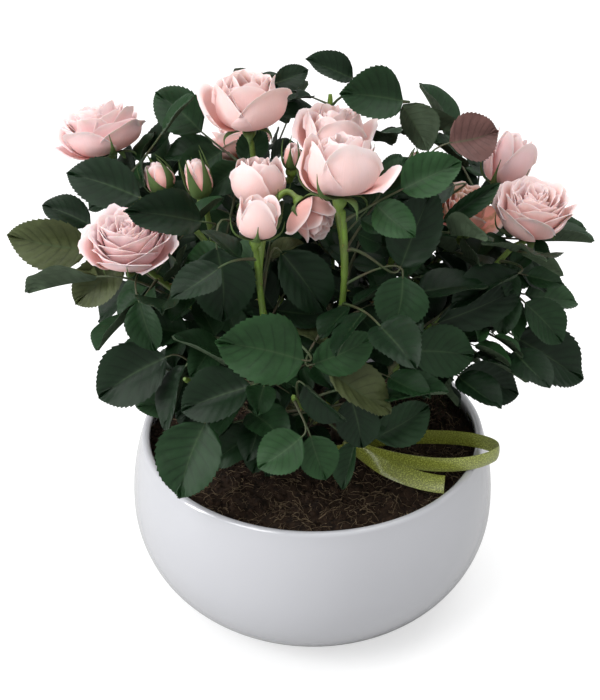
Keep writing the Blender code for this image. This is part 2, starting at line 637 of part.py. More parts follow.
class Bush:
    """Every limb, flower and leaf: each finds its place among those that stand already."""

    def __init__(self):
        self.forks = forks()
        self.canes = {name: Cane(name, self.forks[name]) for name in CANES}
        self.room = Room()
        self.room.add("soil", soil_solid())
        self.stocks, self.limbs, self.roses = {}, {}, {}
        self.masses = {name: [] for name in CANES}
        self.view = []  # middles and radii of what stays clear toward the light
        self.blades = 0
        self.grow_limbs()
        self.open_roses()
        self.grow_stems()
        self.set_leaves()
        self.spring_leaves()

    def grow_limbs(self):
        """The stocks with their stubs, and the bare lower part of each cane."""
        for stock in STOCKS:
            self.stocks[stock] = stock_pieces(stock, self.forks)
            for piece in self.stocks[stock]:
                self.room.add("stock " + stock, piece)
        for name, cane in self.canes.items():
            step = (GAP + 0.35) / (cane.at(1) - cane.at(0)).length
            path = cane.run(step, cane.bare, 3)
            self.limbs[name] = tube(path, [cane.radius(cane.bare * i / 3) for i in range(4)], 6)
            self.room.add("cane " + name, self.limbs[name])

    def open_roses(self):
        """The open roses, and the view that leaves keep out of."""
        for name, (cane, _, base, lean, radius, height, openness) in ROSES.items():
            axis = direction(*lean)
            base = Vector(base) if base else self.canes[cane].end
            self.view.append((base + axis * (height * 0.5), radius * 0.8))
            self.roses[name] = rose_solid(base, axis, radius, height, openness)
            self.room.add("rose " + name, self.roses[name])
        for name in OPEN_STALKS:
            self.view += [(self.canes[name].at(0.66 + 0.04 * k), STALK_VIEW) for k in range(8)]

    def flowers(self, cane):
        """(fraction, base, axis, size, bud radius) of each flower and bud that a cane carries."""
        rows = [(c, at, b, lean, min(r, 18), 0) for c, at, b, lean, r, _, _ in ROSES.values()]
        rows += [(c, at, b, lean, long, r) for c, at, b, lean, long, r in BUDS]
        return [(at, b, direction(*lean), size, r) for c, at, b, lean, size, r in rows if c == cane]

    def grow_stems(self):
        """Each mass's own stem, its flower stalks, calyxes and buds."""
        for name, cane in self.canes.items():
            pieces = self.masses[name]
            step = (GAP + 0.1) / (cane.at(1) - cane.at(0)).length
            path = cane.run(cane.bare + step, 1.0, 5)
            radii = [cane.radius(cane.bare + (1 - cane.bare) * i / 5) for i in range(6)]
            for at, _, axis, size, bud in self.flowers(name):
                if at == 1:
                    points, wide = flower_end(cane.end, axis, size, bud)
                    path, radii = path[:-1] + points, radii[:-1] + wide
            pieces.append(tube(path, radii, 5))
            for at, base, axis, size, bud in self.flowers(name):
                if at < 1:
                    points, wide = flower_end(Vector(base), axis, size, bud)
                    root, foot = cane.at(at), points[0]
                    reach = (foot - root).length
                    first = root + cane.ahead(at) * reach * 0.4
                    second = foot - axis * reach * 0.35
                    bend = [bezier(root, first, second, foot, t / 3) for t in range(3)]
                    pieces.append(tube(bend + points, [1.5] * 3 + wide, 5))
            for piece in pieces:
                self.room.add("mass " + name, piece)

    def fitting(self, leaf, placed):
        """The blades of a leaf that find room; none at all if its end blade doesn't."""
        kept = {}
        for k, piece in enumerate(leaf.blades()):
            solid = blade(*piece)
            fits = all(over_soil(v) for v in solid[0])
            if not placed or k:
                fits = fits and all(in_crown(v) and not hides(v, self.view) for v in solid[0])
            tree = BVHTree.FromPolygons(*solid)
            fits = fits and not any(tree.overlap(other) for other in kept.values())
            if fits and self.room.clear(probe(piece)):
                kept[k] = tree
            elif k == 0:
                break
        return set(kept)

    def settle(self, name, leaf, placed=False, least=1):
        """Adds a leaf whose stalk, end blade and enough other blades find room."""
        own = ("mass " + name,)
        stalk = tube([leaf.at(t) for t in (0, 0.33, 0.67, 1)], [STALK + 0.6] * 4, 4, leaf.face)
        if not all(over_soil(v) for v in stalk[0]) or not self.room.clear(stalk, own):
            return False
        kept = self.fitting(leaf, placed)
        if len(kept) < least:
            return False
        solid = leaf.solid(kept)
        if crosses_itself(solid) or not self.room.clear(solid, own):
            return False
        self.masses[name].append(solid)
        self.room.add("leaf", solid)
        self.blades += len(kept)
        return True

    def set_leaves(self):
        """The leaves that give the crown its outline."""
        for row in SET_LEAVES:
            for attempt in range(len(SLIDES) * len(STALK_SHIFTS)):
                if self.settle(row[0], set_leaf(self.canes[row[0]], row, attempt), True):
                    break

    def spring_leaves(self):
        """The rest of the leaves, by rule."""
        for level in range(LEVELS):
            for name, cane in self.canes.items():
                for attempt in range(ATTEMPTS):
                    least = 3 if attempt < ATTEMPTS - 2 else 2
                    if self.settle(name, sprung_leaf(cane, level, attempt), least=least):
                        break


# --- objects ----------------------------------------------------------------


def make_material(name):
    colour, roughness = COLOURS[name]
    material = bpy.data.materials.new(name)
    material.use_nodes = True
    shader = material.node_tree.nodes["Principled BSDF"]
    shader.inputs["Base Color"].default_value = (*colour, 1)
    shader.inputs["Roughness"].default_value = roughness
    shader.inputs["Metallic"].default_value = 0
    material.diffuse_color = (*colour, 1)
    return material


def mesh_object(name, solid, origin=Vector()):
    verts, faces = solid
    mesh = bpy.data.meshes.new(name)
    mesh.from_pydata([(v - origin) * MM for v in verts], [], faces)
    obj = bpy.data.objects.new(name, mesh)
    obj.location = origin * MM
    bpy.context.scene.collection.objects.link(obj)
    return obj


def one_shell(mesh, merge):
    """Keeps the body's outer shell, without scraps or sealed hollows. Says whether it is closed."""
    shape = bmesh.new()
    shape.from_mesh(mesh)
    if merge:
        bmesh.ops.remove_doubles(shape, verts=shape.verts, dist=merge)
    left = set(shape.faces)
    shells = []
    while left:
        todo, shell = [left.pop()], []
        while todo:
            face = todo.pop()
            shell.append(face)
            for edge in face.edges:
                for other in edge.link_faces:
                    if other in left:
                        left.remove(other)
                        todo.append(other)
        shells.append(shell)
    shells.sort(key=len)
    for shell in shells[:-1]:
        bmesh.ops.delete(shape, geom=shell, context="FACES")
    closed = all(edge.is_manifold for edge in shape.edges) and shape.calc_volume(signed=True) > 0
    if closed:
        shape.to_mesh(mesh)
    shape.free()
    return closed


def fuse(name, solids, origin=Vector()):
    """Joins closed solids into one body with one Boolean union on a collection."""
    for solver in ("EXACT", "MANIFOLD"):
        main = mesh_object(name, solids[0], origin)
        if len(solids) == 1:
            return main
        group = bpy.data.collections.new(name + " pieces")
        bpy.context.scene.collection.children.link(group)
        for k, solid in enumerate(solids[1:]):
            piece = mesh_object(f"{name} piece {k}", solid, origin)
            bpy.context.scene.collection.objects.unlink(piece)
            group.objects.link(piece)
        union = main.modifiers.new("union", "BOOLEAN")
        union.operation = "UNION"
        union.solver = solver
        union.operand_type = "COLLECTION"
        union.collection = group
        bpy.context.view_layer.update()
        graph = bpy.context.evaluated_depsgraph_get()
        mesh = bpy.data.meshes.new_from_object(main.evaluated_get(graph))
        main.modifiers.clear()
        main.data = mesh
        for piece in list(group.objects):
            bpy.data.objects.remove(piece)
        bpy.data.collections.remove(group)
        if any(one_shell(mesh, merge) for merge in (0, 1e-7, 5e-7)):
            return main
        print(f"{name}: the {solver} union left an open mesh")
        bpy.data.objects.remove(main)
    raise RuntimeError(f"{name} could not be fused")


def make_bowl():
    """Turns the bowl's profile with a Screw modifier."""
    mesh = bpy.data.meshes.new("bowl")
    profile = [Vector((r, 0, z)) * MM for r, z in bowl_profile()]
    mesh.from_pydata(profile, [(i, i + 1) for i in range(len(profile) - 1)], [])
    obj = bpy.data.objects.new("bowl", mesh)
    bpy.context.scene.collection.objects.link(obj)
    screw = obj.modifiers.new("turned", "SCREW")
    screw.steps = screw.render_steps = BOWL_SIDES
    screw.use_merge_vertices = True
    screw.merge_threshold = 1e-5
    return obj


def ribbon_strip(path, lean, wide, thick):
    """A closed strip whose width stands along lean at each point."""
    verts, faces = [], []
    for i, point in enumerate(path):
        axis = (path[min(i + 1, len(path) - 1)] - path[max(i - 1, 0)]).normalized()
        tall = across(axis, lean[i])
        flat = axis.cross(tall)
        for a, b in ((1, 1), (-1, 1), (-1, -1), (1, -1)):
            verts.append(point + tall * (a * wide / 2) + flat * (b * thick / 2))
    for i in range(len(path) - 1):
        for k in range(4):
            a, b = i * 4 + k, i * 4 + (k + 1) % 4
            faces.append((a, b, b + 4, a + 4))
    faces.append((3, 2, 1, 0))
    last = len(verts) - 4
    faces.append((last, last + 1, last + 2, last + 3))
    return verts, faces


def ribbon_pieces():
    """The band round the stocks, the knot, the loop over the rim and the tail down to the lip."""
    pieces = []
    band = []
    for k in range(12):
        turn = math.radians(-40 + 345 * k / 11)
        lift = 95.0 + 1.2 * math.sin(3 * turn)
        band.append(Vector((2 + 24.5 * math.cos(turn), 1 + 24.5 * math.sin(turn), lift)))
    pieces.append(ribbon_strip(band, [UP] * len(band), RIBBON_WIDE * 0.8, RIBBON_THICK))
    turn_back, home = Vector((95, -36, 104)), RIBBON_KNOT + Vector((3, 2, 1))
    out = (RIBBON_KNOT, Vector((44, -40, 101)), Vector((76, -52, 104)), turn_back)
    back = (turn_back, Vector((104, -28, 104)), Vector((80, -12, 104)), home)
    loop = [bezier(*out, k / 7) for k in range(8)] + [bezier(*back, k / 7) for k in range(1, 8)]
    pieces.append(ribbon_strip(loop, [UP + FRONT * 0.1] * len(loop), RIBBON_WIDE, RIBBON_THICK))
    run = (RIBBON_KNOT, Vector((34, -34, 96)), Vector((50, -44, 92.5)), Vector((68, -47, 93)))
    tail = [bezier(*run, k / 5) for k in range(6)]
    lean = [UP.lerp(Vector((-0.35, 0.75, 0.55)), min(1, k / 2)) for k in range(6)]
    pieces.append(ribbon_strip(tail, lean, RIBBON_WIDE, RIBBON_THICK))
    side = Vector((1, -1, 0)).normalized()
    knot = [RIBBON_KNOT + side * at for at in (-3.4, -1.5, 2.6)]
    pieces.append(tube(knot, [3.2, 4.6, 3.6], 7, UP))
    return pieces


def main():
    for obj in list(bpy.data.objects):
        bpy.data.objects.remove(obj)
    materials = {name: make_material(name) for name in COLOURS}
    whole = bpy.data.objects.new("rose_bush", None)
    bpy.context.scene.collection.objects.link(whole)

    def finish(obj, material):
        obj.data.materials.clear()
        obj.data.materials.append(materials[material])
        obj.parent = whole
        obj.data.shade_smooth()
        obj.data.set_sharp_from_angle(angle=math.radians(38))

    finish(make_bowl(), "glaze")
    finish(mesh_object("peat", soil_solid()), "peat")
    finish(fuse("ribbon", ribbon_pieces(), RIBBON_KNOT), "satin")
    bush = Bush()
    for name, pieces in bush.stocks.items():
        x, y, _ = STOCKS[name]
        finish(fuse(f"stock_{name}", pieces, Vector((x, y, SOIL_Z + GAP))), "bark")
    for name, limb in bush.limbs.items():
        finish(mesh_object(f"cane_{name}", limb, limb[0][0]), "green bark")
    for name, pieces in bush.masses.items():
        finish(fuse(f"foliage_{name}", pieces, pieces[0][0][0]), "leaf")
    for name, solid in bush.roses.items():
        finish(mesh_object(f"rose_{name}", solid, solid[0][0]), "petal")
    print(sum(len(pieces) for pieces in bush.masses.values()), "pieces,", bush.blades, "blades")


main()
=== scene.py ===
"""A rose bush in flower in a glazed bowl, with a satin ribbon tied round its stocks.

The bowl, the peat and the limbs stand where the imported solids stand. The stems, leaves and
blooms grow on from them by the same rule as the solids', carried on to veined blades with
teeth, finer leaves, single petals, sepals and prickles.

The plan's lengths are millimetres and its angles degrees; a mesh is scaled to metres when it
is made. +Z is up, the origin is the middle of the bowl's underside and -Y is the front.
"""

import math
import random
from collections import namedtuple
import bmesh
import bpy
import numpy as np
from bpy.props import FloatProperty, FloatVectorProperty, IntProperty, PointerProperty
from mathutils import Matrix, Quaternion, Vector, noise
from mathutils.bvhtree import BVHTree
from mathutils.kdtree import KDTree


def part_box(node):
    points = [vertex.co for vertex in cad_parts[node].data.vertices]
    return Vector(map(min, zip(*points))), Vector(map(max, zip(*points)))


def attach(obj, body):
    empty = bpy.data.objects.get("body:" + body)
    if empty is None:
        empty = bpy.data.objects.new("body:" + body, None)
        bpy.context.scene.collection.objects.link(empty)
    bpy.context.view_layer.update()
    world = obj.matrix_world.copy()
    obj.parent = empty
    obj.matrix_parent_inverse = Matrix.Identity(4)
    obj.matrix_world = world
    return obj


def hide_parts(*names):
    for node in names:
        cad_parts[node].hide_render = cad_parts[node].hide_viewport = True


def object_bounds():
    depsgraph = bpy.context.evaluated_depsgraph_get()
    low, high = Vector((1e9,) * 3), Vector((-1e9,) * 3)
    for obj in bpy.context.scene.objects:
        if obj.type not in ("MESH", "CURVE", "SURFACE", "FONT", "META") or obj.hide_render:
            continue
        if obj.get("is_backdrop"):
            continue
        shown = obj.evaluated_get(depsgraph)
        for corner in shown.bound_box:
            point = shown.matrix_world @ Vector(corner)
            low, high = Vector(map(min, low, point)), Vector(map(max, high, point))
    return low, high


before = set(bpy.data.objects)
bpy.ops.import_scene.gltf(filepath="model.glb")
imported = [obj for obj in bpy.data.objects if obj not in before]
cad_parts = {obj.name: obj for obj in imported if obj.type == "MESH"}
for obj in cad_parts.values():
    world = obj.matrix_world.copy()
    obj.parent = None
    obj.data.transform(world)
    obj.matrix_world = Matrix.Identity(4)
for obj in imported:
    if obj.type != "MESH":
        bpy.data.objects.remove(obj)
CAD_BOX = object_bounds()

bl_info = {
    "name": "Rose Bush in a Bowl",
    "version": (1, 0, 0),
    "blender": (4, 5, 0),
    "location": "3D View > Sidebar > Rose Bush",
    "description": "Grows a rose bush in a glazed bowl: peat, ribbon, canes, leaves and blooms",
    "category": "Add Mesh",
}

MM = 0.001
UP = Vector((0, 0, 1))
FRONT = Vector((0, -1, 0))
OPEN_SKY = Vector((0, -0.85, 0.52))  # the side of the blooms that leaves keep clear of
SEED = 37


# --- sizes of the bowl and the peat, shared with the solids -----------------

BOWL_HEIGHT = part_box("bowl")[1].z / MM
BOWL_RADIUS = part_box("bowl")[1].x / MM
BOWL_WAIST_Z = 56.0  # height of the widest ring
BOWL_FOOT_RADIUS = 52.0
BOWL_RIM_RADIUS = 92.5
BOWL_WALL = 4.5
BOWL_FLOOR = 6.0
SOIL_Z = 88.0
STOCK_PATCH = 26.0  # the peat is level within this radius


# --- the bush's plan --------------------------------------------------------

FORK_APART = 56  # degrees between two canes of one stock
LEVELS = 9  # leaves sprung along each stem by the rule
ATTEMPTS = 8
FINE_ATTEMPTS = 5
FEWEST_BLADES = 3  # a fine leaf with room for fewer isn't grown
FINE_ROOM = 1.6  # thickness of a fine leaf's blades where they are tested for room
VEIL = 60  # fine leaves don't stand within this distance in front of a set leaf
SAME_POINT = 0.05  # a packed point this near a blade's own shows that the blade was kept
GOLDEN_ANGLE = 137.5
SLIDES = (0, 4, -4, 8, -8, 13, -13, 18, -18)  # toward the light
STALK_SHIFTS = (0, -0.08, 0.08, -0.16, 0.16, -0.24)  # along the cane
ROSE_HIP = 18  # no hip is thicker than that of a rose of this radius
STALK = 0.85  # half the thickness of a leaf's stalk
PAIRS = ((0.46, 0.80, 0.46), (0.88, 0.68, 0.30))  # side blades: place, size, forward lean
BLADE_THICK = 1.1
BLADE_FOLD = 0.09
BLADE_CURL = 0.10
CROWN_CENTRE = Vector((-4, 2, 196))
CROWN_REACH = Vector((152, 112, 112))
OPEN_STALKS = ("front_bud", "centre_right")  # canes whose upper stalks stay in view
STALK_VIEW = 7.0  # clear half width in front of them

# Stocks: foot on the peat (x, y) and the height of the fork above the peat.
STOCKS = {
    "left": (-13, 5, 18),
    "front": (-4, -12, 17),
    "right": (14, -3, 18),
    "back": (3, 13, 19),
}

# Canes: stock, the calyx or leafy tip that the cane reaches, its heading and lift there,
# and how much of its length is bare before the foliage.
CANES = {
    "left_high": ("left", (-103, 22, 248), (172, 62), 0.32),
    "left_low": ("left", (-88, -27, 215), (215, 48), 0.30),
    "left_buds": ("left", (-54, -8, 238), (150, 76), 0.36),
    "front_left": ("front", (-62, -62, 168), (222, 42), 0.26),
    "front_low": ("front", (-10, -74, 166), (265, 50), 0.26),
    "front_bud": ("front", (-27, -54, 239), (262, 82), 0.32),
    "centre_left": ("back", (-31.5, 7, 268), (190, 82), 0.34),
    "centre_right": ("right", (11, -46, 256), (209, 78), 0.32),
    "leafy_top": ("back", (8, 27, 277), (85, 84), 0.36),
    "red_shoot": ("back", (50, 9, 243), (30, 76), 0.34),
    "right_front": ("right", (105, -8, 220), (345, 58), 0.32),
    "right_back": ("right", (94.5, 24, 230), (20, 62), 0.36),
    "right_low": ("right", (92, 4, 164), (0, 20), 0.28),
    "back_left": ("left", (-38, 76, 222), (115, 70), 0.30),
    "back_mid": ("back", (62, 66, 196), (50, 44), 0.28),
    "back_right": ("back", (16, 82, 218), (80, 66), 0.30),
}
MASSES = ["foliage_" + name for name in CANES]

# Open roses: cane, fraction of the cane where the stalk leaves it (1 is its tip), base,
# heading and lift of the axis, radius, height and openness.
ROSES = {
    "left_high": ("left_high", 1, None, (145, 72), 22.0, 27, 0.9),
    "left_low": ("left_low", 1, None, (248, 79), 22.0, 25, 1.0),
    "centre_left": ("centre_left", 1, None, (200, 87), 20.0, 27, 0.55),
    "centre_front": ("centre_left", 0.74, (-26, -18, 240), (100, 80), 15.5, 22, 0.5),
    "front_bud": ("front_bud", 1, None, (60, 80), 12.0, 20, 0.3),
    "centre_low": ("front_bud", 0.80, (-6, -28, 243), (315, -30), 12.0, 18, 0.4),
    "centre_right": ("centre_right", 1, None, (90, 77), 19.5, 27, 0.55),
    "centre_back": ("centre_right", 0.70, (9, 0, 256), (90, 86), 17.0, 25, 0.6),
    "right_front": ("right_front", 1, None, (295, 80), 19.5, 27, 1.0),
    "right_back": ("right_back", 1, None, (20, 70), 13.0, 29, 0.4),
    "right_faded": ("right_back", 0.72, (76.5, 11, 213), (255, 72), 13.5, 26, 0.6),
    "back_left": ("back_left", 1, None, (115, 62), 17.5, 25, 0.8),
    "back_right": ("back_right", 1, None, (80, 60), 17.0, 24, 0.7),
}

# Buds: cane, fraction where the stalk leaves it, base, heading and lift, length and radius.
BUDS = [
    ("left_buds", 1, None, (140, 72), 20, 6.5),
    ("left_buds", 0.70, (-73, 3, 236), (165, 62), 16, 7.5),
    ("red_shoot", 1, None, (100, 84), 11, 4.2),
    ("centre_left", 0.86, (-11, -5, 252), (300, 84), 13, 4.5),
    ("back_mid", 1, None, (95, 60), 16, 6.0),
]

# Leaves that give the crown its outline: cane, fraction where the stalk leaves it, base and
# tip of the end blade, width over length, roll, pairs of side blades, and tone.
# The front leaves take the bright tone and many inner ones the deep: partly painted light and painted shade.
SET_LEAVES = [
    ("left_high", 0.80, (-84, -4, 235), (-120, 0, 247), 0.62, 0, 1, "deep"),
    ("left_high", 0.66, (-112, 6, 216), (-137, 12, 225), 0.60, 10, 0, "deep"),
    ("left_low", 0.70, (-112, 0, 205), (-153, 0, 213), 0.60, -10, 1, "olive"),
    ("left_low", 0.60, (-106, -14, 197), (-145, -6, 188), 0.60, 68, 1, "olive"),
    ("left_low", 0.92, (-83, -48, 203), (-75, -60, 182), 0.62, 20, 0, "mid"),
    ("left_buds", 0.82, (-52, -40, 240), (-84, -58, 254), 0.50, 0, 0, "deep"),
    ("left_buds", 0.62, (-48, 20, 250), (-76, 26, 245), 0.55, 20, 0, "mid"),
    ("front_left", 0.66, (-72, -42, 168), (-108, -46, 146), 0.70, 0, 1, "deep"),
    ("front_left", 0.95, (-52, -70, 149), (-66, -89, 117), 0.80, 0, 1, "mid"),
    ("front_left", 0.70, (-62, -50, 168), (-76, -56, 134), 0.60, 65, 0, "deep"),
    ("front_left", 0.60, (-30, -55, 160), (-64, -60, 149), 0.68, 10, 1, "deep"),
    ("front_left", 1.00, (-40, -70, 180), (-64, -71, 201), 0.60, 66, 0, "mid"),
    ("centre_left", 0.55, (-45, -50, 232), (-42, -64, 200), 0.82, 0, 0, "deep"),
    ("front_bud", 0.90, (-42, -48, 236), (-24, -62, 219), 0.55, 30, 0, "mid"),
    ("front_bud", 0.62, (-5, -79, 189), (-44, -88, 204), 0.72, 0, 1, "bright"),
    ("front_bud", 0.72, (-16, -42, 226), (6, -44, 194), 0.62, 0, 0, "deep"),
    ("centre_right", 0.58, (-1, -80, 187), (28, -80, 202), 0.60, 30, 1, "bright"),
    ("centre_right", 0.80, (40, -44, 218), (54, -39, 256), 0.58, 0, 0, "deep"),
    ("centre_right", 0.66, (41, -48, 216), (37, -58, 192), 0.95, 0, 0, "mid"),
    ("centre_right", 0.44, (6, -66, 177), (38, -71, 155), 0.66, -25, 1, "olive"),
    ("front_low", 1.00, (-6, -84, 150), (-27, -92, 138), 0.85, 0, 0, "bright"),
    ("front_low", 0.92, (-2, -84, 150), (6, -94, 131), 0.85, 0, 0, "bright"),
    ("front_low", 0.80, (-5, -76, 174), (14, -80, 154), 0.60, 62, 0, "deep"),
    ("front_low", 0.60, (20, -68, 136), (13, -76, 112), 0.45, 30, 0, "mid"),
    ("front_low", 0.80, (17, -62, 158), (23, -66, 130), 0.70, 0, 0, "deep"),
    ("front_low", 0.70, (30, -60, 132), (58, -46, 142), 0.62, 20, 1, "mid"),
    ("red_shoot", 0.90, (64, -4, 264), (88, 0, 269), 0.95, 0, 0, "mauve"),
    ("red_shoot", 0.75, (66, -18, 248), (38, -24, 243), 0.62, 20, 1, "deep"),
    ("right_front", 0.72, (60, -34, 182), (106, -16, 193), 0.36, 25, 0, "deep"),
    ("right_front", 0.84, (100, -16, 200), (66, -26, 187), 0.36, 40, 0, "deep"),
    ("right_front", 0.70, (49, -25, 199), (66, -22, 176), 0.75, 0, 0, "deep"),
    ("right_front", 0.60, (46, -40, 170), (80, -32, 162), 0.70, 0, 1, "mid"),
    ("right_back", 0.62, (62, -2, 220), (90, 4, 238), 0.30, 20, 0, "mid"),
    ("right_low", 0.95, (104, -5, 158), (144, -10, 134), 0.66, 0, 1, "deep"),
    ("right_low", 0.70, (76, -14, 140), (110, -11, 125), 0.62, 15, 1, "deep"),
    ("leafy_top", 1.00, (18, 4, 293), (-3, 0, 305), 0.60, 10, 1, "deep"),
    ("leafy_top", 0.92, (42, 4, 282), (12, -5, 289), 0.75, 0, 1, "mid"),
    ("leafy_top", 0.84, (-19, 14, 290), (-3, 14, 297), 0.70, 20, 1, "deep"),
]

# How each rose has opened: petals, rim height of the outer petals and of the heart over the
# bloom's height, width of the mouth, how far one petal hangs loose, how far the rims roll
# back, how they wave, flush (0 pale to 1 deep), where the loose petal stands, and the finish.
BLOOM_LOOKS = {
    "left_high": (38, 0.60, 0.94, 1.00, 20, 55, 1.5, 0.10, 285, "petal_cool"),
    "left_low": (42, 0.52, 0.90, 1.00, 15, 60, 1.3, 0.00, 75, "petal_cool"),
    "centre_left": (19, 0.82, 1.00, 0.84, 10, 105, 0.9, 0.00, 262, "petal"),
    "centre_front": (15, 0.90, 0.95, 0.74, 0, 30, 1.1, 0.10, 335, "petal"),
    "front_bud": (10, 0.96, 0.88, 0.70, 0, 50, 0.6, 0.00, 355, "petal"),
    "centre_low": (16, 0.86, 0.95, 0.90, 20, 60, 1.3, 0.34, 10, "petal"),
    "centre_right": (21, 0.92, 0.98, 0.78, 50, 55, 1.3, 0.00, 112, "petal"),
    "centre_back": (22, 0.86, 0.98, 0.92, 20, 70, 1.7, 0.00, 95, "petal"),
    "right_front": (40, 0.68, 0.90, 1.00, 8, 50, 1.1, 0.02, 160, "petal"),
    "right_back": (14, 0.94, 0.88, 0.72, 0, 40, 0.7, 0.10, 250, "petal_cool"),
    "right_faded": (16, 0.74, 0.95, 1.00, 60, 50, 1.8, 0.35, 75, "petal_faded"),
    "back_left": (34, 0.50, 0.95, 1.00, 15, 50, 1.1, 0.10, 10, "petal"),
    "back_right": (30, 0.52, 0.95, 1.00, 15, 50, 1.1, 0.10, 100, "petal_cool"),
}

# How leaves spring by rule: the stretch of the cane (start past its bare part, end, and how many
# levels a leaf may stray), the turn in degrees (at first, for each cane, for each attempt), how
# far they lean forward and rise, the stalk's bend and length, the blade's length and width, and
# its roll.
Rule = namedtuple("Rule", "key stretch turns forward rise bend stalk length width roll")
SPRUNG = Rule(
    "", (0.05, 0.90, 0.5), (0, 71, 49), (0.2, 0.7), (-0.55, 0.25), 0.35, (22, 44), (27, 38), (0.62, 0.72), 30
)
FINE = Rule(
    "fine ", (0, 0.97, 1), (40, 53, 67), (0.1, 0.8), (-0.5, 0.3), 0.3, (14, 34), (18, 28), (0.56, 0.70), 35
)

# deep and bright are partly the leaves' own range of greens and partly painted shade and painted light: deep
# stands for leaves in shade, bright for leaves in full light.
TONES = ("deep", "mid", "bright", "olive", "mauve")
TONE_SHARES = ("deep",) * 6 + ("mid",) * 5 + ("bright",)
FINE_TONES = ("deep",) * 3 + ("mid",) * 4 + ("bright",) * 2 + ("olive",)


# --- curves and frames ------------------------------------------------------


def direction(heading, lift):
    """Unit vector from a heading round +Z and a lift above the level, in degrees."""
    h, e = math.radians(heading), math.radians(lift)
    return Vector((math.cos(h) * math.cos(e), math.sin(h) * math.cos(e), math.sin(e)))


def bezier(a, b, c, d, t):
    s = 1 - t
    return a * s**3 + b * (3 * s * s * t) + c * (3 * s * t * t) + d * t**3


def curve(a, b, c, d, steps):
    """The points of a Bezier curve, ends and all."""
    return [bezier(a, b, c, d, k / steps) for k in range(steps + 1)]


def nearest(path, share):
    """The point of a path that lies nearest a share of it."""
    last = len(path) - 1
    return path[min(last, int(round(share * last)))]


def across(axis, hint):
    """The part of hint square to axis, as a unit vector."""
    flat = hint - axis * hint.dot(axis)
    if flat.length < 1e-3:
        flat = axis.orthogonal()
    return flat.normalized()


def smooth(value, low=0.0, high=1.0):
    """A soft step from 0 at low to 1 at high."""
    t = np.clip((np.asarray(value, float) - low) / (high - low), 0, 1)
    return t * t * (3 - 2 * t)


# --- growth: the same rule as the solids' -----------------------------------


class Cane:
    """One cane's curve from its fork to its tip, and where its foliage begins."""

    def __init__(self, name, fork):
        _, tip, lean, bare = CANES[name]
        head, start = fork
        self.name = name
        self.start, self.end = start, Vector(tip)
        self.lean = direction(*lean)
        self.bare = bare
        span = (self.end - self.start).length
        out = across(UP, start - head)
        rise = (out * 0.75 + UP * 0.65).normalized()
        if self.end.z > 190:
            rise = (out * 0.55 + UP * 0.85).normalized()
        self.first = self.start + rise * span * 0.36
        self.second = self.end - self.lean * span * 0.34

    def at(self, t):
        return bezier(self.start, self.first, self.second, self.end, t)

    def ahead(self, t):
        return (self.at(min(1, t + 0.02)) - self.at(max(0, t - 0.02))).normalized()

    def radius(self, t):
        return 2.5 - 0.9 * t

    def swelling(self, t):
        """From 0 to 1 where a node swells the stem."""
        return max(0.0, math.cos((t * 34 + len(self.name)) % 6.28)) ** 8

    def run(self, t0, t1, count):
        return [self.at(t0 + (t1 - t0) * i / count) for i in range(count + 1)]


def forks():
    """Where each cane leaves its stock: they fan round its head, FORK_APART degrees apart or more."""
    found = {}
    for stock, (x, y, height) in STOCKS.items():
        head = Vector((x, y, SOIL_Z + height))
        heading = {}
        for name, (owner, tip, _, _) in CANES.items():
            if owner == stock:
                heading[name] = math.degrees(math.atan2(tip[1] - y, tip[0] - x))
        names = sorted(heading, key=heading.get)
        for _ in range(60):
            for left, right in zip(names, names[1:] + names[:1]):
                round_again = 360 if right == names[0] else 0
                short = FORK_APART - (heading[right] + round_again - heading[left])
                if short > 0 and left != right:
                    heading[left] -= short / 2
                    heading[right] += short / 2
        for name in names:
            found[name] = (head, head + direction(heading[name], 0) * 9 + UP * 10)
    return found


class Leaf:
    """A compound leaf: a stalk that ends in one blade, with pairs of side blades along it."""

    def __init__(self, root, out, base, tip, width, roll, pairs, shown=False):
        self.root, self.base, self.tip, self.width = root, base, tip, width
        self.length = (tip - base).length
        self.along = (tip - base) / self.length
        self.reach = (base - root).length
        self.first = root + out * self.reach * 0.42
        self.second = base - self.along * self.reach * 0.36
        outward = Vector((base.x, base.y, 0)).normalized()
        lit = OPEN_SKY + UP * 0.25 if shown else outward * 0.5 + UP * 0.8 + FRONT * 0.25
        face = across(self.along, lit)
        self.face = Quaternion(self.along, math.radians(roll)) @ face
        self.pairs = [
            (1 - back * self.length / self.reach, size, lean)
            for back, size, lean in PAIRS[:pairs]
            if self.reach - back * self.length > 5
        ]
        self.kept = set()
        self.tone = "deep"

    def at(self, t):
        return bezier(self.root, self.first, self.second, self.base, t)

    def frame(self, t):
        """The stalk's direction, upper face and right side, carried back from the end blade."""
        face = self.face
        for k in range(1, 7):
            place = 1 + (t - 1) * k / 6
            axis = (self.at(place + 0.02) - self.at(place - 0.02)).normalized()
            face = across(axis, face)
        return axis, face, axis.cross(face)

    def blades(self):
        """(base, tip, face, width) of the end blade and then of the side blades, right before left."""
        found = [(self.base, self.tip, self.face, self.width)]
        for t, size, lean in self.pairs:
            axis, face, side = self.frame(t)
            for way in (1, -1):
                aim = (axis * lean + side * way - face * 0.06).normalized()
                base = self.at(t) + side * (way * STALK)
                found.append((base, base + aim * (self.length * size), face, self.width * 1.05))
        return found

    def kept_blades(self):
        return [blade for k, blade in enumerate(self.blades()) if k in self.kept]


def blade_marks(blade):
    """The tip and the raised middle of a blade's solid, by which it is found in the frame."""
    base, tip, face, width = blade
    run = tip - base
    length = run.length
    face = across(run.normalized(), face)
    middle = base + run * 0.46 + face * (BLADE_THICK / 2 - BLADE_FOLD * width * length / 4)
    return tip - face * (BLADE_CURL * length * 0.36), middle


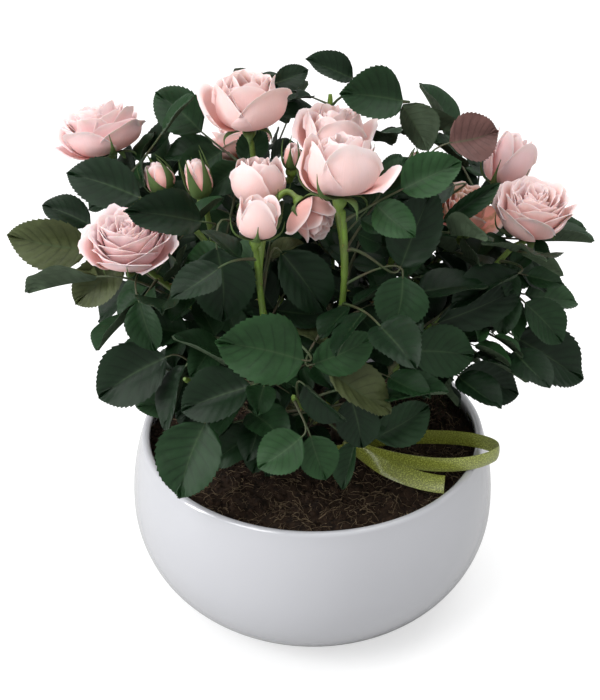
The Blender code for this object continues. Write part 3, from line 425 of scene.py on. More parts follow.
def blade_proxy(blade, thick=BLADE_THICK):
    """A blade as a thin solid of twelve faces, to test whether it touches anything."""
    base, tip, face, width = blade
    run = tip - base
    face = across(run.normalized(), face)
    side = run.normalized().cross(face)
    half = width * run.length / 2
    outline = ((0, 0), (0.30, 0.94), (0.72, 0.74), (1, 0), (0.72, -0.74), (0.30, -0.94))
    verts = [base + run * at + side * (out * half) for at, out in outline]
    verts += [base + run * 0.46 + face * (thick / 2), base + run * 0.46 - face * (thick / 2)]
    faces = []
    for k in range(6):
        faces += [(6, k, (k + 1) % 6), (7, (k + 1) % 6, k)]
    return verts, faces


def set_leaf(cane, row, attempt):
    """A leaf of the outline; each attempt slides it in the light, and its stalk along the stem."""
    _, at, base, tip, width, roll, pairs, _ = row
    slide = SLIDES[attempt // len(STALK_SHIFTS)]
    here = min(0.95, max(at + STALK_SHIFTS[attempt % len(STALK_SHIFTS)], cane.bare + 0.04))
    root = cane.at(here)
    base, tip = Vector(base) + OPEN_SKY * slide, Vector(tip) + OPEN_SKY * slide
    out = ((base - root).normalized() + cane.ahead(here) * 0.6).normalized()
    return Leaf(root, out, base, tip, width, roll, pairs, True)


def ruled_leaf(cane, level, attempt, rule, levels):
    """A leaf sprung from the cane by rule, a golden angle on from the level below."""
    chance = random.Random(f"{SEED} {rule.key}{cane.name} {level} {attempt}")
    start, end, stray = rule.stretch
    at = cane.bare + start + (end - cane.bare) * (level + chance.uniform(0, stray)) / levels
    axis = cane.ahead(at)
    first, each_cane, again = rule.turns
    turn = first + each_cane * list(CANES).index(cane.name) + GOLDEN_ANGLE * level + again * attempt
    out = Quaternion(axis, math.radians(turn)) @ across(axis, FRONT)
    out = (out + axis * chance.uniform(*rule.forward)).normalized()
    aim = (out + UP * chance.uniform(*rule.rise)).normalized()
    root = cane.at(at)
    base = root + (out * (1 - rule.bend) + aim * rule.bend) * chance.uniform(*rule.stalk)
    tip = base + aim * chance.uniform(*rule.length)
    return Leaf(root, out, base, tip, chance.uniform(*rule.width), chance.uniform(-rule.roll, rule.roll), 2)


def in_crown(point):
    out = point - CROWN_CENTRE
    return sum((out[i] / CROWN_REACH[i]) ** 2 for i in range(3)) < 1


def over_soil(point):
    reach = math.hypot(point.x, point.y)
    if reach < BOWL_RADIUS + 6:
        return point.z > BOWL_HEIGHT + 4
    return point.z > BOWL_WAIST_Z


class Plant:
    """Every limb, leaf and flower of the bush, worked out once and read by each operator."""

    def __init__(self, fine_leaves):
        self.forks = forks()
        self.canes = {name: Cane(name, self.forks[name]) for name in CANES}
        self.flowers = []
        buds = {f"bud_{k}": row for k, row in enumerate(BUDS)}
        for name, (cane, at, base, lean, size, radius, *_) in {**ROSES, **buds}.items():
            base = Vector(base) if base else self.canes[cane].end
            if name in ROSES:
                size, radius = min(size, ROSE_HIP), 0
            self.flowers.append(Flower(name, cane, at, base, direction(*lean), size, radius))
        self.leaves = []
        self.find_leaves()
        self.grow_fine_leaves(fine_leaves)

    def find_leaves(self):
        """Takes from each leaf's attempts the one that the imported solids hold."""
        marks = {}
        for name in CANES:
            points = [v.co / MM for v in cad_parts["foliage_" + name].data.vertices]
            tree = KDTree(len(points))
            for k, point in enumerate(points):
                tree.insert(point, k)
            tree.balance()
            marks[name] = tree

        def keep(name, leaf, tone):
            for k, blade in enumerate(leaf.blades()):
                if all(marks[name].find(mark)[2] < SAME_POINT for mark in blade_marks(blade)):
                    leaf.kept.add(k)
                elif k == 0:
                    return False
            leaf.tone = tone
            self.leaves.append((name, leaf))
            return True

        for row in SET_LEAVES:
            for attempt in range(len(SLIDES) * len(STALK_SHIFTS)):
                if keep(row[0], set_leaf(self.canes[row[0]], row, attempt), row[-1]):
                    break
        for level in range(LEVELS):
            for name, cane in self.canes.items():
                tone = random.Random(f"tone {name} {level}").choice(TONE_SHARES)
                for attempt in range(ATTEMPTS):
                    if keep(name, ruled_leaf(cane, level, attempt, SPRUNG, LEVELS), tone):
                        break

    def grow_fine_leaves(self, levels):
        """Carries the rule on to smaller leaves, wherever a blade is clear of all that stands."""
        points, faces = [], []
        for name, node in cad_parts.items():
            start = len(points)
            points += [v.co / MM for v in node.data.vertices]
            faces += [[start + k for k in face.vertices] for face in node.data.polygons]
        standing = [BVHTree.FromPolygons(points, faces)]
        sky = []
        for flower in self.flowers[: len(ROSES)]:
            radius, height = ROSES[flower.name][4:6]
            sky.append((flower.base + flower.axis * (height * 0.5), radius * 0.95))
        for name in OPEN_STALKS:
            sky += [(self.canes[name].at(0.58 + 0.04 * k), STALK_VIEW) for k in range(10)]

        shown, corners = [], []
        for _, leaf in self.leaves[: len(SET_LEAVES)]:
            for blade in leaf.kept_blades():
                verts, sides = blade_proxy(blade)
                corners += [[len(shown) + k for k in side] for side in sides]
                shown += verts
        veil = BVHTree.FromPolygons(shown, corners)
        away = -OPEN_SKY.normalized()

        def clear(solid):
            tree = BVHTree.FromPolygons(*solid)
            return not any(tree.overlap(other) for other in standing)

        def hides_leaf(point):
            return veil.ray_cast(point, away, VEIL)[0] is not None

        def hides_bloom(point):
            for middle, radius in sky:
                out = point - middle
                ahead = out.dot(OPEN_SKY)
                if ahead > 2 and (out - OPEN_SKY * ahead).length < radius:
                    return True
            return False

        for level in range(levels):
            for name, cane in self.canes.items():
                for attempt in range(FINE_ATTEMPTS):
                    leaf = ruled_leaf(cane, level, attempt, FINE, levels)
                    fits = {}
                    for k, blade in enumerate(leaf.blades()):
                        solid = blade_proxy(blade, FINE_ROOM)
                        allowed = all(
                            in_crown(v) and over_soil(v) and not hides_bloom(v) and not hides_leaf(v)
                            for v in solid[0]
                        )
                        if allowed and clear(solid):
                            fits[k] = solid
                        elif k == 0:
                            break
                    if len(fits) < FEWEST_BLADES:
                        continue
                    leaf.kept = set(fits)
                    leaf.tone = random.Random(f"fine {name} {level}").choice(FINE_TONES)
                    for solid in fits.values():
                        standing.append(BVHTree.FromPolygons(*solid))
                    self.leaves.append((name, leaf))
                    break


class Flower:
    """Where an open rose or a bud stands, the stalk that carries it, and its size."""

    def __init__(self, name, cane, at, base, axis, size, bud_radius):
        self.name, self.cane, self.at = name, cane, at
        self.base, self.axis, self.size, self.bud_radius = base, axis, size, bud_radius
        self.hip_length = 3.5 + 0.18 * size
        self.hip_radius = 1.6 + 0.10 * size

    def stalk(self, cane, steps):
        """The side stalk's path from the cane to the foot of the hip."""
        root = cane.at(self.at)
        foot = self.base - self.axis * self.hip_length
        reach = (foot - root).length
        first = root + cane.ahead(self.at) * reach * 0.4
        return curve(root, first, foot - self.axis * reach * 0.35, foot, steps)


# --- meshes -----------------------------------------------------------------


class Heap:
    """Points and faces gathered into one mesh, with values for each point."""

    def __init__(self):
        self.points, self.faces, self.finishes = [], [], []
        self.values = {}
        self.count = 0

    def add(self, points, faces, finish=0, **values):
        """faces is a list of index arrays; values hold one number for each point."""
        points = np.asarray(points, float).reshape(-1, 3)
        for block in faces:
            block = np.asarray(block, int)
            if len(block):
                self.faces += (block + self.count).tolist()
                self.finishes += [finish] * len(block)
        for key, value in values.items():
            filled = np.broadcast_to(np.asarray(value, float), (len(points),))
            self.values.setdefault(key, []).append((self.count, filled))
        self.points.append(points)
        self.count += len(points)

    def mesh(self, name, materials=()):
        mesh = bpy.data.meshes.new(name)
        points = np.concatenate(self.points) * MM
        mesh.from_pydata(points.tolist(), [], self.faces)
        for key, parts in self.values.items():
            filled = np.zeros(self.count)
            for start, part in parts:
                filled[start : start + len(part)] = part
            mesh.attributes.new(key, "FLOAT", "POINT").data.foreach_set("value", filled)
        for material in materials:
            mesh.materials.append(material)
        mesh.polygons.foreach_set("material_index", self.finishes)
        mesh.shade_smooth()
        mesh.set_sharp_from_angle(angle=math.radians(60))
        return mesh


def grid_faces(rows, columns, wrap=False):
    """Quads of a grid whose points lie row by row; wrap joins the last column to the first."""
    i, j = np.meshgrid(np.arange(rows - 1), np.arange(columns if wrap else columns - 1), indexing="ij")
    a = i * columns + j
    b = i * columns + (j + 1) % columns
    return np.stack([a, b, b + columns, a + columns], -1).reshape(-1, 4)


def fan(ring, pole):
    """Triangles from a ring of points to its pole."""
    ring = np.asarray(ring)
    return np.stack([ring, np.roll(ring, -1), np.full(len(ring), pole)], -1)


def tube(path, radii, sides, hint=FRONT):
    """A closed round limb along a path: points, faces, and each point's place along and round it."""
    points, along = [], []
    side = None
    for i, point in enumerate(path):
        axis = (path[min(i + 1, len(path) - 1)] - path[max(i - 1, 0)]).normalized()
        side = across(axis, hint if side is None else side)
        other = axis.cross(side)
        for k in range(sides):
            turn = 2 * math.pi * k / sides
            points.append(point + (side * math.cos(turn) + other * math.sin(turn)) * radii[i])
            along.append(i / (len(path) - 1))
    body = grid_faces(len(path), sides, wrap=True)
    foot, head = len(points), len(points) + 1
    points += [path[0], path[-1]]
    along += [0, 1]
    caps = np.concatenate([fan(np.arange(sides)[::-1], foot), fan(np.arange(foot - sides, foot), head)])
    return points, [body, caps], along


def thin_sheet(grid, thick):
    """A closed sheet about a grid of points (rows, columns, 3), thinner toward its edge."""
    down = np.gradient(grid, axis=0)
    over = np.gradient(grid, axis=1)
    normal = np.cross(over, down)
    normal /= np.linalg.norm(normal, axis=-1, keepdims=True) + 1e-9
    rows, columns = grid.shape[:2]
    edge = np.ones((rows, columns))
    edge[-1, :] = 0.35
    edge[:, 0] = edge[:, -1] = 0.35
    half = (normal * (thick / 2)) * edge[..., None]
    front, back = grid + half, grid - half
    count = rows * columns
    quads = grid_faces(rows, columns)
    index = np.arange(count).reshape(rows, columns)
    rim = np.concatenate([index[0, :-1], index[:-1, -1], index[-1, :0:-1], index[:0:-1, 0]])
    after = np.roll(rim, -1)
    seam = np.stack([after, rim, rim + count, after + count], -1)
    points = np.concatenate([front.reshape(-1, 3), back.reshape(-1, 3)])
    return points, [quads, quads[:, ::-1] + count, seam]


def put(name, mesh, slot, *nodes):
    """A finished piece: it rides with the bush and stands for the given nodes."""
    obj = bpy.data.objects.new(name, mesh)
    bpy.context.scene.collection.objects.link(obj)
    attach(obj, "root")
    if nodes:
        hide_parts(*nodes)
    return obj


# --- a bloom's petals -------------------------------------------------------


class Bloom:
    """An open rose: thin petals spiralled a golden angle apart about its axis.

    A goblet's petals close over its heart, a rosette's open in a flat, crowded dome. The rims
    of both roll back, most at their corners.
    """

    ROWS = 16
    COLUMNS = 13

    def __init__(self, flower, own):
        self.chance = random.Random(f"{SEED} petals {flower.name}")
        self.base, self.axis = np.array(flower.base), np.array(flower.axis)
        side = across(flower.axis, FRONT)
        self.side, self.other = np.array(side), np.array(flower.axis.cross(side))
        self.thick = own.thickness / MM
        self.measure(flower)

    def measure(self, flower):
        self.radius, self.height, openness = ROSES[flower.name][4:]
        look = BLOOM_LOOKS[flower.name]
        self.petals, self.guard, self.heart, self.mouth, self.loose = look[:5]
        self.roll, self.wave, self.flush, self.spin, _ = look[5:]
        self.flat = float(smooth(openness, 0.6, 0.9))

    def profile(self, q):
        """Four (radius, height) points of a petal's cup, q running from the outermost to the heart."""
        top = self.guard + (self.heart - self.guard) * q
        belly = 1 - 0.68 * q**0.8
        goblet = (
            (0.05 + 0.10 * (1 - q), 0.02 + 0.06 * q),
            (belly * 1.10, 0.02 + 0.08 * q),
            (belly * 1.05, top * 0.62),
            (belly * (0.93 - 0.42 * q**0.7) * self.mouth, top),
        )
        top = self.guard + (self.heart - self.guard) * (1 - (1 - q) ** 2.2) - 0.12 * q**6
        rim = 1 - 0.90 * q
        rosette = (
            (0.04 + 0.12 * (1 - q), 0.02),
            (rim * 0.80 + 0.06, 0.02 + 0.10 * q),
            (rim * 0.88 + 0.03, top * (0.42 + 0.20 * q)),
            (rim * 0.96, top),
        )
        mixed = []
        for (r, z), (wide, high) in zip(goblet, rosette):
            r, z = r + (wide - r) * self.flat, z + (high - z) * self.flat
            mixed.append((r * self.radius, z * self.height))
        return mixed

    def petal(self, k, q, turn, spread):
        """A grid of points from the petal's foot to its rim, in millimetres."""
        chance = self.chance
        u = np.linspace(-1, 1, self.COLUMNS)[None, :]
        t = 1 - (1 - np.linspace(0, 1, self.ROWS)[:, None]) ** 1.45
        corner = np.abs(u) ** 2.8
        v = t * (1 - chance.uniform(0.22, 0.34) * corner) * (1 - chance.uniform(0, 0.06 + 0.05 * q))
        if k == 0:
            v = v * (1 - 0.004 * self.loose)
        (r0, z0), (r1, z1), (r2, z2), (r3, z3) = self.profile(q)
        s = 1 - v
        r = r0 * s**3 + 3 * r1 * s * s * v + 3 * r2 * s * v**2 + r3 * v**3
        z = z0 * s**3 + 3 * z1 * s * s * v + 3 * z2 * s * v**2 + z3 * v**3
        roll = (self.roll * (1 - q) ** 1.2 + 8) * chance.uniform(0.75, 1.2)
        curl = roll * (0.80 + 0.20 * corner) * smooth(t, 0.80, 1.0)
        if k == 0:
            curl = curl + self.loose * smooth(t, 0.15, 0.75)
        curl = np.radians(curl[1:] + curl[:-1]) / 2
        run, up = np.diff(r, axis=0), np.diff(z, axis=0)
        r[1:] = r[:1] + np.cumsum(run * np.cos(curl) + up * np.sin(curl), axis=0)
        z[1:] = z[:1] + np.cumsum(up * np.cos(curl) - run * np.sin(curl), axis=0)
        phase, waves = chance.uniform(0, 6.3), chance.uniform(2.0, 3.8)
        edge = smooth(t, 0.5, 1.0)
        ruffle = 0.45 + 0.35 * self.flat
        ripple = np.sin(waves * u + phase) * edge + ruffle * np.sin(waves * 2.7 * u + phase * 2) * edge**3
        crease = np.sin(3.1 * u + phase * 3) * np.sin(math.pi * t) * 0.022
        r = r + self.radius * (crease + ripple * 0.034 * self.wave)
        r = r * (1 + (0.055 + 0.03 * self.wave) * u * (1 - 0.5 * q))
        z = z + self.height * ripple * 0.020 * self.wave
        z = z + self.height * chance.uniform(-0.07, 0.07) * u * edge
        z = z + self.height * chance.uniform(0.0, 0.045) * np.exp(-((u * 3.0) ** 2)) * t**5
        angle = turn + spread * u * (1 - (0.26 - 0.12 * self.flat) * smooth(t, 0.5, 1.0) ** 1.3)
        flat = self.side * np.cos(angle)[..., None] + self.other * np.sin(angle)[..., None]
        lobe = (self.flat * q * 0.10 + 0.02) * self.radius
        aside = self.side * (lobe * chance.uniform(-1, 1)) + self.other * (lobe * chance.uniform(-1, 1))
        return self.base + flat * r[..., None] + self.axis * z[..., None] + aside * t[..., None]

    def add_to(self, heap, finish):
        v = np.repeat(1 - (1 - np.linspace(0, 1, self.ROWS)) ** 1.45, self.COLUMNS)
        u = np.tile(np.linspace(-1, 1, self.COLUMNS), self.ROWS)
        for k in range(self.petals):
            q = k / (self.petals - 1)
            turn = math.radians(self.spin + GOLDEN_ANGLE * k + self.chance.uniform(-8, 8))
            belly = (1 - 0.68 * q**0.8) * (1 - self.flat) + (1 - 0.88 * q) * self.flat
            arc = 1.05 - 0.45 * q - 0.12 * self.flat
            spread = min(2.3, arc / belly) + self.chance.uniform(-0.15, 0.15)
            points, faces = thin_sheet(self.petal(k, q, turn, spread), self.thick)
            tint = self.chance.uniform(-0.06, 0.06) + self.flush
            # flush deepens toward the petal's foot, on the inner petals and most on their inner faces:
            # partly the petal's own deeper colour at its foot, partly painted shade in the hollow of the
            # bloom.
            deep = (1 - v) ** 1.1 * 0.85 + 0.12 * q
            outside = np.clip(deep * (0.62 + 0.75 * self.flat * (1 - q)) + tint + 0.04, 0, 1)
            inside = np.clip(deep * 1.15 + tint, 0, 1)
            # rim marks the rims and side edges, which the finish lightens with a painted highlight.
            rim = smooth(v, 0.84, 1.0) * 0.8 + smooth(np.abs(u), 0.85, 1.0) * 0.4 * v
            heap.add(
                points,
                faces,
                finish,
                flush=np.concatenate([outside, inside]),
                rim=np.tile(np.clip(rim, 0, 1), 2),
                streak=np.tile(u * 9 + k * 3.7, 2),
            )


# --- a leaf's blade ---------------------------------------------------------

BLADE_ROWS = 18  # a side vein on every other row, a tooth between each two
BLADE_COLUMNS = (0.0, 0.36, 0.72, 1.0)
BLADE_SLANT = 0.27  # how far the side veins run forward, over the blade's length
BLADE_WIDEST = 0.259**0.70 * 0.741**2  # the outline's value at its widest
LOWER_EDGE = 0.93  # the lower face stops short of the margin


def leaflet(chance, tooth, thick):
    """A leaf blade one unit long and wide, from the origin along +Y.

    The rows slant forward with the side veins, which lie sunk between raised ribs of blade.
    Returns its points, its faces, two values for each point, "vein" and "groove", and which
    faces are the lower ones.
    """
    fold = chance.uniform(0.10, 0.42)
    droop = chance.uniform(0.02, 0.26)
    twist = chance.uniform(-0.35, 0.35)
    sway = chance.uniform(-0.05, 0.05)
    wave = chance.uniform(0.008, 0.030)
    phase = chance.uniform(0, 6.3)

    def place(at, out, lift=0.0):
        """A point of the blade: how far along its midrib or margin, and how far out."""
        reach = abs(out)
        along = at + BLADE_SLANT * math.sin(math.pi * at) * reach * (0.7 + 0.3 * reach)
        half = 0.5 * at**0.70 * (1 - at) ** 2 / BLADE_WIDEST
        x = half * out
        ripple = wave * math.sin(2 * math.pi * (2.2 * at) + phase + (out > 0))
        z = fold * abs(x) + lift + ripple * reach**2
        z -= droop * max(0.0, along - 0.25) ** 2
        roll = twist * along
        bent = x + sway * math.sin(math.pi * along)
        cos, sin = math.cos(roll), math.sin(roll)
        return (bent * cos - z * sin, along, z * cos + bent * sin)

    points, veins, grooves = [], [], []

    def point(place, vein=0.0, groove=0.0):
        points.append(place)
        veins.append(vein)
        grooves.append(groove)
        return len(points) - 1

    top, low, teeth = {}, {}, {}
    point(place(0, 0), 1.0)
    for i in range(1, BLADE_ROWS):
        at = i / BLADE_ROWS
        for side in (-1, 1):
            for c, out in enumerate(BLADE_COLUMNS):
                if c == 0 and side == 1:
                    top[i, 1, 0], low[i, 1, 0] = top[i, -1, 0], low[i, -1, 0]
                    continue
                vein = float(c == 0)
                # groove marks the sunk side veins, which the leaf finish darkens with painted shade
                groove = (1.0, 1.0, 1.0, 0.3)[c] if i % 2 == 0 else 0.0
                pillow = 0.026 if groove == 0 else -0.012
                bulge = (-0.018, pillow, pillow, 0.0)[c]
                drop = 1.9 * thick if c == 3 else thick + 0.022 * vein - bulge
                top[i, side, c] = point(place(at, out * side, bulge), vein, groove)
                low[i, side, c] = point(place(at, min(out, LOWER_EDGE) * side, -drop), vein, groove)
    tip = point(place(1, 0), 0.4)
    for i in range(BLADE_ROWS):
        for side in (-1, 1):
            at = min(0.995, (i + 0.9) / BLADE_ROWS)
            x, y, z = place(at, side)
            teeth[i, side] = point((x + side * tooth * (1.1 - 0.5 * at), y + 0.010 * (1 - at), z))
    faces, beneath = [], []

    def face(corners, side, under):
        if len(set(corners)) == 3:
            faces.append(tuple(corners[::-1] if (side == -1) != under else corners))
            beneath.append(under)

    def corner(layer, i, side, c):
        return 0 if i == 0 else tip if i == BLADE_ROWS else layer[i, side, c]

    for i in range(BLADE_ROWS):
        for side in (-1, 1):
            tooth_tip = teeth[i, side]
            for layer, under in ((top, False), (low, True)):
                for c in range(3):
                    a, b = corner(layer, i, side, c), corner(layer, i, side, c + 1)
                    d, e = corner(layer, i + 1, side, c), corner(layer, i + 1, side, c + 1)
                    face([a, b, e], side, under)
                    face([a, e, d], side, under)
            face([corner(top, i, side, 3), tooth_tip, corner(top, i + 1, side, 3)], side, False)
            b, e = corner(low, i, side, 3), corner(low, i + 1, side, 3)
            face([b, corner(top, i, side, 3), tooth_tip], side, True)
            face([b, tooth_tip, e], side, True)
            face([e, tooth_tip, corner(top, i + 1, side, 3)], side, True)
    return points, faces, {"vein": veins, "groove": grooves}, beneath


def leaflet_collection(name, count, tooth, thick, seed):
    """A hidden set of blades to deal out, each bent, folded and waved in its own way."""
    group = bpy.data.collections.new(name)
    for k in range(count):
        chance = random.Random(f"{seed} {name} {k}")
        points, faces, values, beneath = leaflet(chance, tooth, thick)
        mesh = bpy.data.meshes.new(f"{name}_{k:02}")
        mesh.from_pydata(points, [], faces)
        for key, value in values.items():
            mesh.attributes.new(key, "FLOAT", "POINT").data.foreach_set("value", value)
        mesh.attributes.new("under", "BOOLEAN", "FACE").data.foreach_set("value", beneath)
        mesh.shade_smooth()
        mesh.set_sharp_from_angle(angle=math.radians(75))
        group.objects.link(bpy.data.objects.new(mesh.name, mesh))
    return group


# --- dealing shapes out -----------------------------------------------------


def add(tree, kind, inputs=None, **settings):
    """A node with its settings, and its inputs given as values or as sockets to link from."""
    node = tree.nodes.new(kind)
    for key, value in settings.items():
        setattr(node, key, value)
    for key, value in (inputs or {}).items():
        if isinstance(value, bpy.types.NodeSocket):
            tree.links.new(value, node.inputs[key])
        else:
            node.inputs[key].default_value = value
    return node


def node_group(name, kind, inputs, output_kinds, build):
    """The node group of this name; on first use, build makes its outputs of its inputs."""
    tree = bpy.data.node_groups.get(name)
    if tree is None:
        tree = bpy.data.node_groups.new(name, kind + "NodeTree")
        for label, (sort, *value) in inputs.items():
            made = tree.interface.new_socket(label, in_out="INPUT", socket_type="NodeSocket" + sort)
            if value:
                made.default_value = value[0]
        for label, sort in output_kinds.items():
            tree.interface.new_socket(label, in_out="OUTPUT", socket_type="NodeSocket" + sort)
        given = add(tree, "NodeGroupInput").outputs
        add(tree, "NodeGroupOutput", build(tree, given))
    return tree


def maths(tree, operation, first, second):
    return add(tree, "ShaderNodeMath", {0: first, 1: second}, operation=operation).outputs[0]


def named(tree, name, kind):
    """A value kept on the mesh, for Geometry Nodes."""
    return add(tree, "GeometryNodeInputNamedAttribute", {"Name": name}, data_type=kind).outputs[0]


def stood(tree, shapes, where):
    """One of a collection's shapes on each point, as a plain mesh."""
    held = {"Collection": shapes, "Separate Children": True, "Reset Children": True}
    picked = add(tree, "GeometryNodeCollectionInfo", held).outputs["Instances"]
    where = {**where, "Instance": picked, "Pick Instance": True}
    dealt = add(tree, "GeometryNodeInstanceOnPoints", where).outputs[0]
    return add(tree, "GeometryNodeRealizeInstances", {"Geometry": dealt}).outputs[0]


def dressed(tree, geometry, material, **more):
    inputs = {"Geometry": geometry, "Material": material, **more}
    return add(tree, "GeometryNodeSetMaterial", inputs).outputs[0]


def dealing_nodes(tree, given):
    """Stands one of a collection's shapes on each point, turned and sized by the point's values."""
    where = {
        "Points": given["Geometry"],
        "Instance Index": named(tree, "kind", "INT"),
        "Rotation": named(tree, "turn", "QUATERNION"),
        "Scale": named(tree, "size", "FLOAT_VECTOR"),
    }
    upper = dressed(tree, stood(tree, given["Shapes"], where), given["Upper"])
    return {"Geometry": dressed(tree, upper, given["Under"], Selection=named(tree, "under", "BOOLEAN"))}


def dealing_tree():
    sorts = {"Geometry": "Geometry", "Shapes": "Collection", "Upper": "Material", "Under": "Material"}
    inputs = {label: [sort] for label, sort in sorts.items()}
    return node_group("Deal Shapes Out", "Geometry", inputs, {"Geometry": "Geometry"}, dealing_nodes)


def deal(name, rows, shapes, upper, under):
    """A joined mesh of shapes; each row is a place, a turn, a size for each axis and a kind."""
    places, turns, sizes, kinds = zip(*rows)
    points = bpy.data.meshes.new(name + "_points")
    points.from_pydata([tuple(Vector(place) * MM) for place in places], [], [])
    for key, sort, field, values in (
        ("turn", "QUATERNION", "value", [c for turn in turns for c in turn]),
        ("size", "FLOAT_VECTOR", "vector", [c * MM for size in sizes for c in size]),
        ("kind", "INT", "value", kinds),
    ):
        points.attributes.new(key, sort, "POINT").data.foreach_set(field, values)
    return evaluated(name, points, dealing_tree(), Shapes=shapes, Upper=upper, Under=under)


def evaluated(name, mesh, tree, **inputs):
    """The plain mesh that a Geometry Nodes tree makes of a mesh."""
    obj = bpy.data.objects.new(name, mesh)
    bpy.context.scene.collection.objects.link(obj)
    live = obj.modifiers.new(tree.name, "NODES")
    live.node_group = tree
    for item in tree.interface.items_tree:
        if item.item_type == "SOCKET" and item.in_out == "INPUT":
            value = inputs.get(item.name.replace(" ", "_"))
            if value is not None:
                live[item.identifier] = value
    obj.update_tag()
    bpy.context.view_layer.update()
    graph = bpy.context.evaluated_depsgraph_get()
    made = bpy.data.meshes.new_from_object(obj.evaluated_get(graph))
    made.name = name
    bpy.data.objects.remove(obj)
    return made


def facing(along, face):
    """The turn that points +Y along and +Z to face."""
    side = along.cross(face)
    rows = (side, along, face)
    matrix = [[rows[c][r] for c in range(3)] for r in range(3)]
    return Matrix(matrix).to_quaternion()


# --- finishes ---------------------------------------------------------------


def finish(name, colour, **values):
    """A new material and its tree, with constant values set on the shader's own sockets."""
    material = bpy.data.materials.new(name)
    material.use_nodes = True
    material.diffuse_color = (*colour, 1)
    shader = material.node_tree.nodes["Principled BSDF"]
    shader.inputs["Base Color"].default_value = (*colour, 1)
    for key, value in values.items():
        shader.inputs[key.replace("_", " ")].default_value = value
    return material, material.node_tree


def skin(material, colour, height, strength, distance):
    """The material, given a colour and a relief made of a height."""
    tree = material.node_tree
    shader = tree.nodes["Principled BSDF"]
    bump = add(tree, "ShaderNodeBump", {"Height": height, "Strength": strength, "Distance": distance})
    tree.links.new(colour, shader.inputs["Base Color"])
    tree.links.new(bump.outputs["Normal"], shader.inputs["Normal"])
    return material


def paint(colour):
    """A colour for a node's input: a socket as it is, three numbers made opaque."""
    return colour if isinstance(colour, bpy.types.NodeSocket) else (*colour[:3], 1)


def dimmed(colour, share):
    return [c * share for c in colour]


def mix(tree, factor, first, second, blend="MIX"):
    """The colour between two, by a factor."""
    inputs = {0: factor, 6: paint(first), 7: paint(second)}
    return add(tree, "ShaderNodeMix", inputs, data_type="RGBA", blend_type=blend).outputs[2]


def spread(tree, value, low, high, to_low=0.0, to_high=1.0):
    """The stretch from low to high of a value, drawn out over another."""
    return add(tree, "ShaderNodeMapRange", {0: value, 1: low, 2: high, 3: to_low, 4: to_high}).outputs[0]


def speckle(tree, where, scale, detail, **more):
    """Soft noise from 0 to 1."""
    inputs = {"Vector": where, "Scale": scale, "Detail": detail, **more}
    return add(tree, "ShaderNodeTexNoise", inputs).outputs["Fac"]


def own_place(tree):
    return add(tree, "ShaderNodeTexCoord").outputs["Object"]


def value_of(tree, name):
    """A number kept on the mesh's points."""
    return add(tree, "ShaderNodeAttribute", attribute_name=name).outputs["Fac"]


def ramp(tree, factor, stops):
    node = add(tree, "ShaderNodeValToRGB", {"Fac": factor})
    bar = node.color_ramp.elements
    while len(bar) < len(stops):
        bar.new(0.5)
    for element, (at, colour) in zip(bar, stops):
        element.position = at
        element.color = (*colour, 1)
    return node.outputs["Color"]


def mottle_nodes(tree, given):
    """Two colours mixed in soft patches, with a height for fine grain."""
    patches = speckle(tree, given["Vector"], given["Patch Scale"], 4.0, Roughness=0.6)
    share = maths(tree, "MULTIPLY", spread(tree, patches, 0.38, 0.66), given["Patch Amount"])
    grain = speckle(tree, given["Vector"], given["Grain Scale"], 3.0, Roughness=0.7)
    return {"Colour": mix(tree, share, given["Colour"], given["Patch Colour"]), "Height": grain}


def mottled(tree, colour, patch, patch_scale, amount, grain_scale):
    """The Mottle group over the piece's own place: its colour and its height."""
    inputs = {
        "Vector": ["Vector"],
        "Colour": ["Color", (0.5, 0.5, 0.5, 1)],
        "Patch Colour": ["Color", (0.3, 0.3, 0.3, 1)],
        "Patch Scale": ["Float", 60.0],
        "Patch Amount": ["Float", 0.5],
        "Grain Scale": ["Float", 900.0],
    }
    mottle = node_group("Mottle", "Shader", inputs, {"Colour": "Color", "Height": "Float"}, mottle_nodes)
    values = (own_place(tree), paint(colour), paint(patch), patch_scale, amount, grain_scale)
    group = add(tree, "ShaderNodeGroup", dict(zip(inputs, values)), node_tree=mottle)
    return group.outputs["Colour"], group.outputs["Height"]


def glaze_finish(colour):
    material, tree = finish("glaze", colour, Roughness=0.14, Coat_Weight=1.0, Coat_Roughness=0.04)
    return skin(material, *mottled(tree, colour, dimmed(colour, 0.96), 9, 0.6, 260), 0.06, 0.0004)


def peat_finish(name, colour, patch, scale):
    material, tree = finish(name, colour, Roughness=0.95, Specular_IOR_Level=0.2)
    return skin(material, *mottled(tree, colour, patch, scale, 0.9, 1500), 0.8, 0.0012)


def bark_finish(name, colour, patch, rough, crack):
    """Bark or the skin of a cane: mottled, with cracks or ridges drawn out along it."""
    material, tree = finish(name, colour, Roughness=rough)
    shade, height = mottled(tree, colour, patch, 110, 0.8, 1200)
    drawn = add(tree, "ShaderNodeMapping", {"Vector": own_place(tree), "Scale": (1.0, 1.0, 0.16)})
    lines = speckle(tree, drawn.outputs[0], 900.0, 5.0, Roughness=0.65)
    shaded = mix(tree, 1.0, shade, spread(tree, lines, 0.35, 0.62, crack), "MULTIPLY")
    return skin(material, shaded, maths(tree, "ADD", height, lines), 0.5, 0.0006)


def leaf_finish(name, colour, vein, rough=0.44, gloss=0.2):
    """A blade's upper or lower side: mottled green, with a pale midrib and side veins darkened by painted
    shade in their grooves.
    """
    material, tree = finish(name, colour, Roughness=rough, Specular_IOR_Level=gloss)
    shade, height = mottled(tree, colour, dimmed(colour, 0.62), 130, 0.7, 2200)
    # groove darkens the sunk side veins: painted shade; vein draws the pale midrib.
    groove_shade = dimmed(colour, 0.35)
    for key, sharpness, strength, line in (("groove", 7.0, 0.55, groove_shade), ("vein", 10.0, 0.5, vein)):
        drawn = maths(tree, "POWER", value_of(tree, key), sharpness)
        shade = mix(tree, maths(tree, "MULTIPLY", drawn, strength), shade, line)
    return skin(material, shade, height, 0.35, 0.0003)


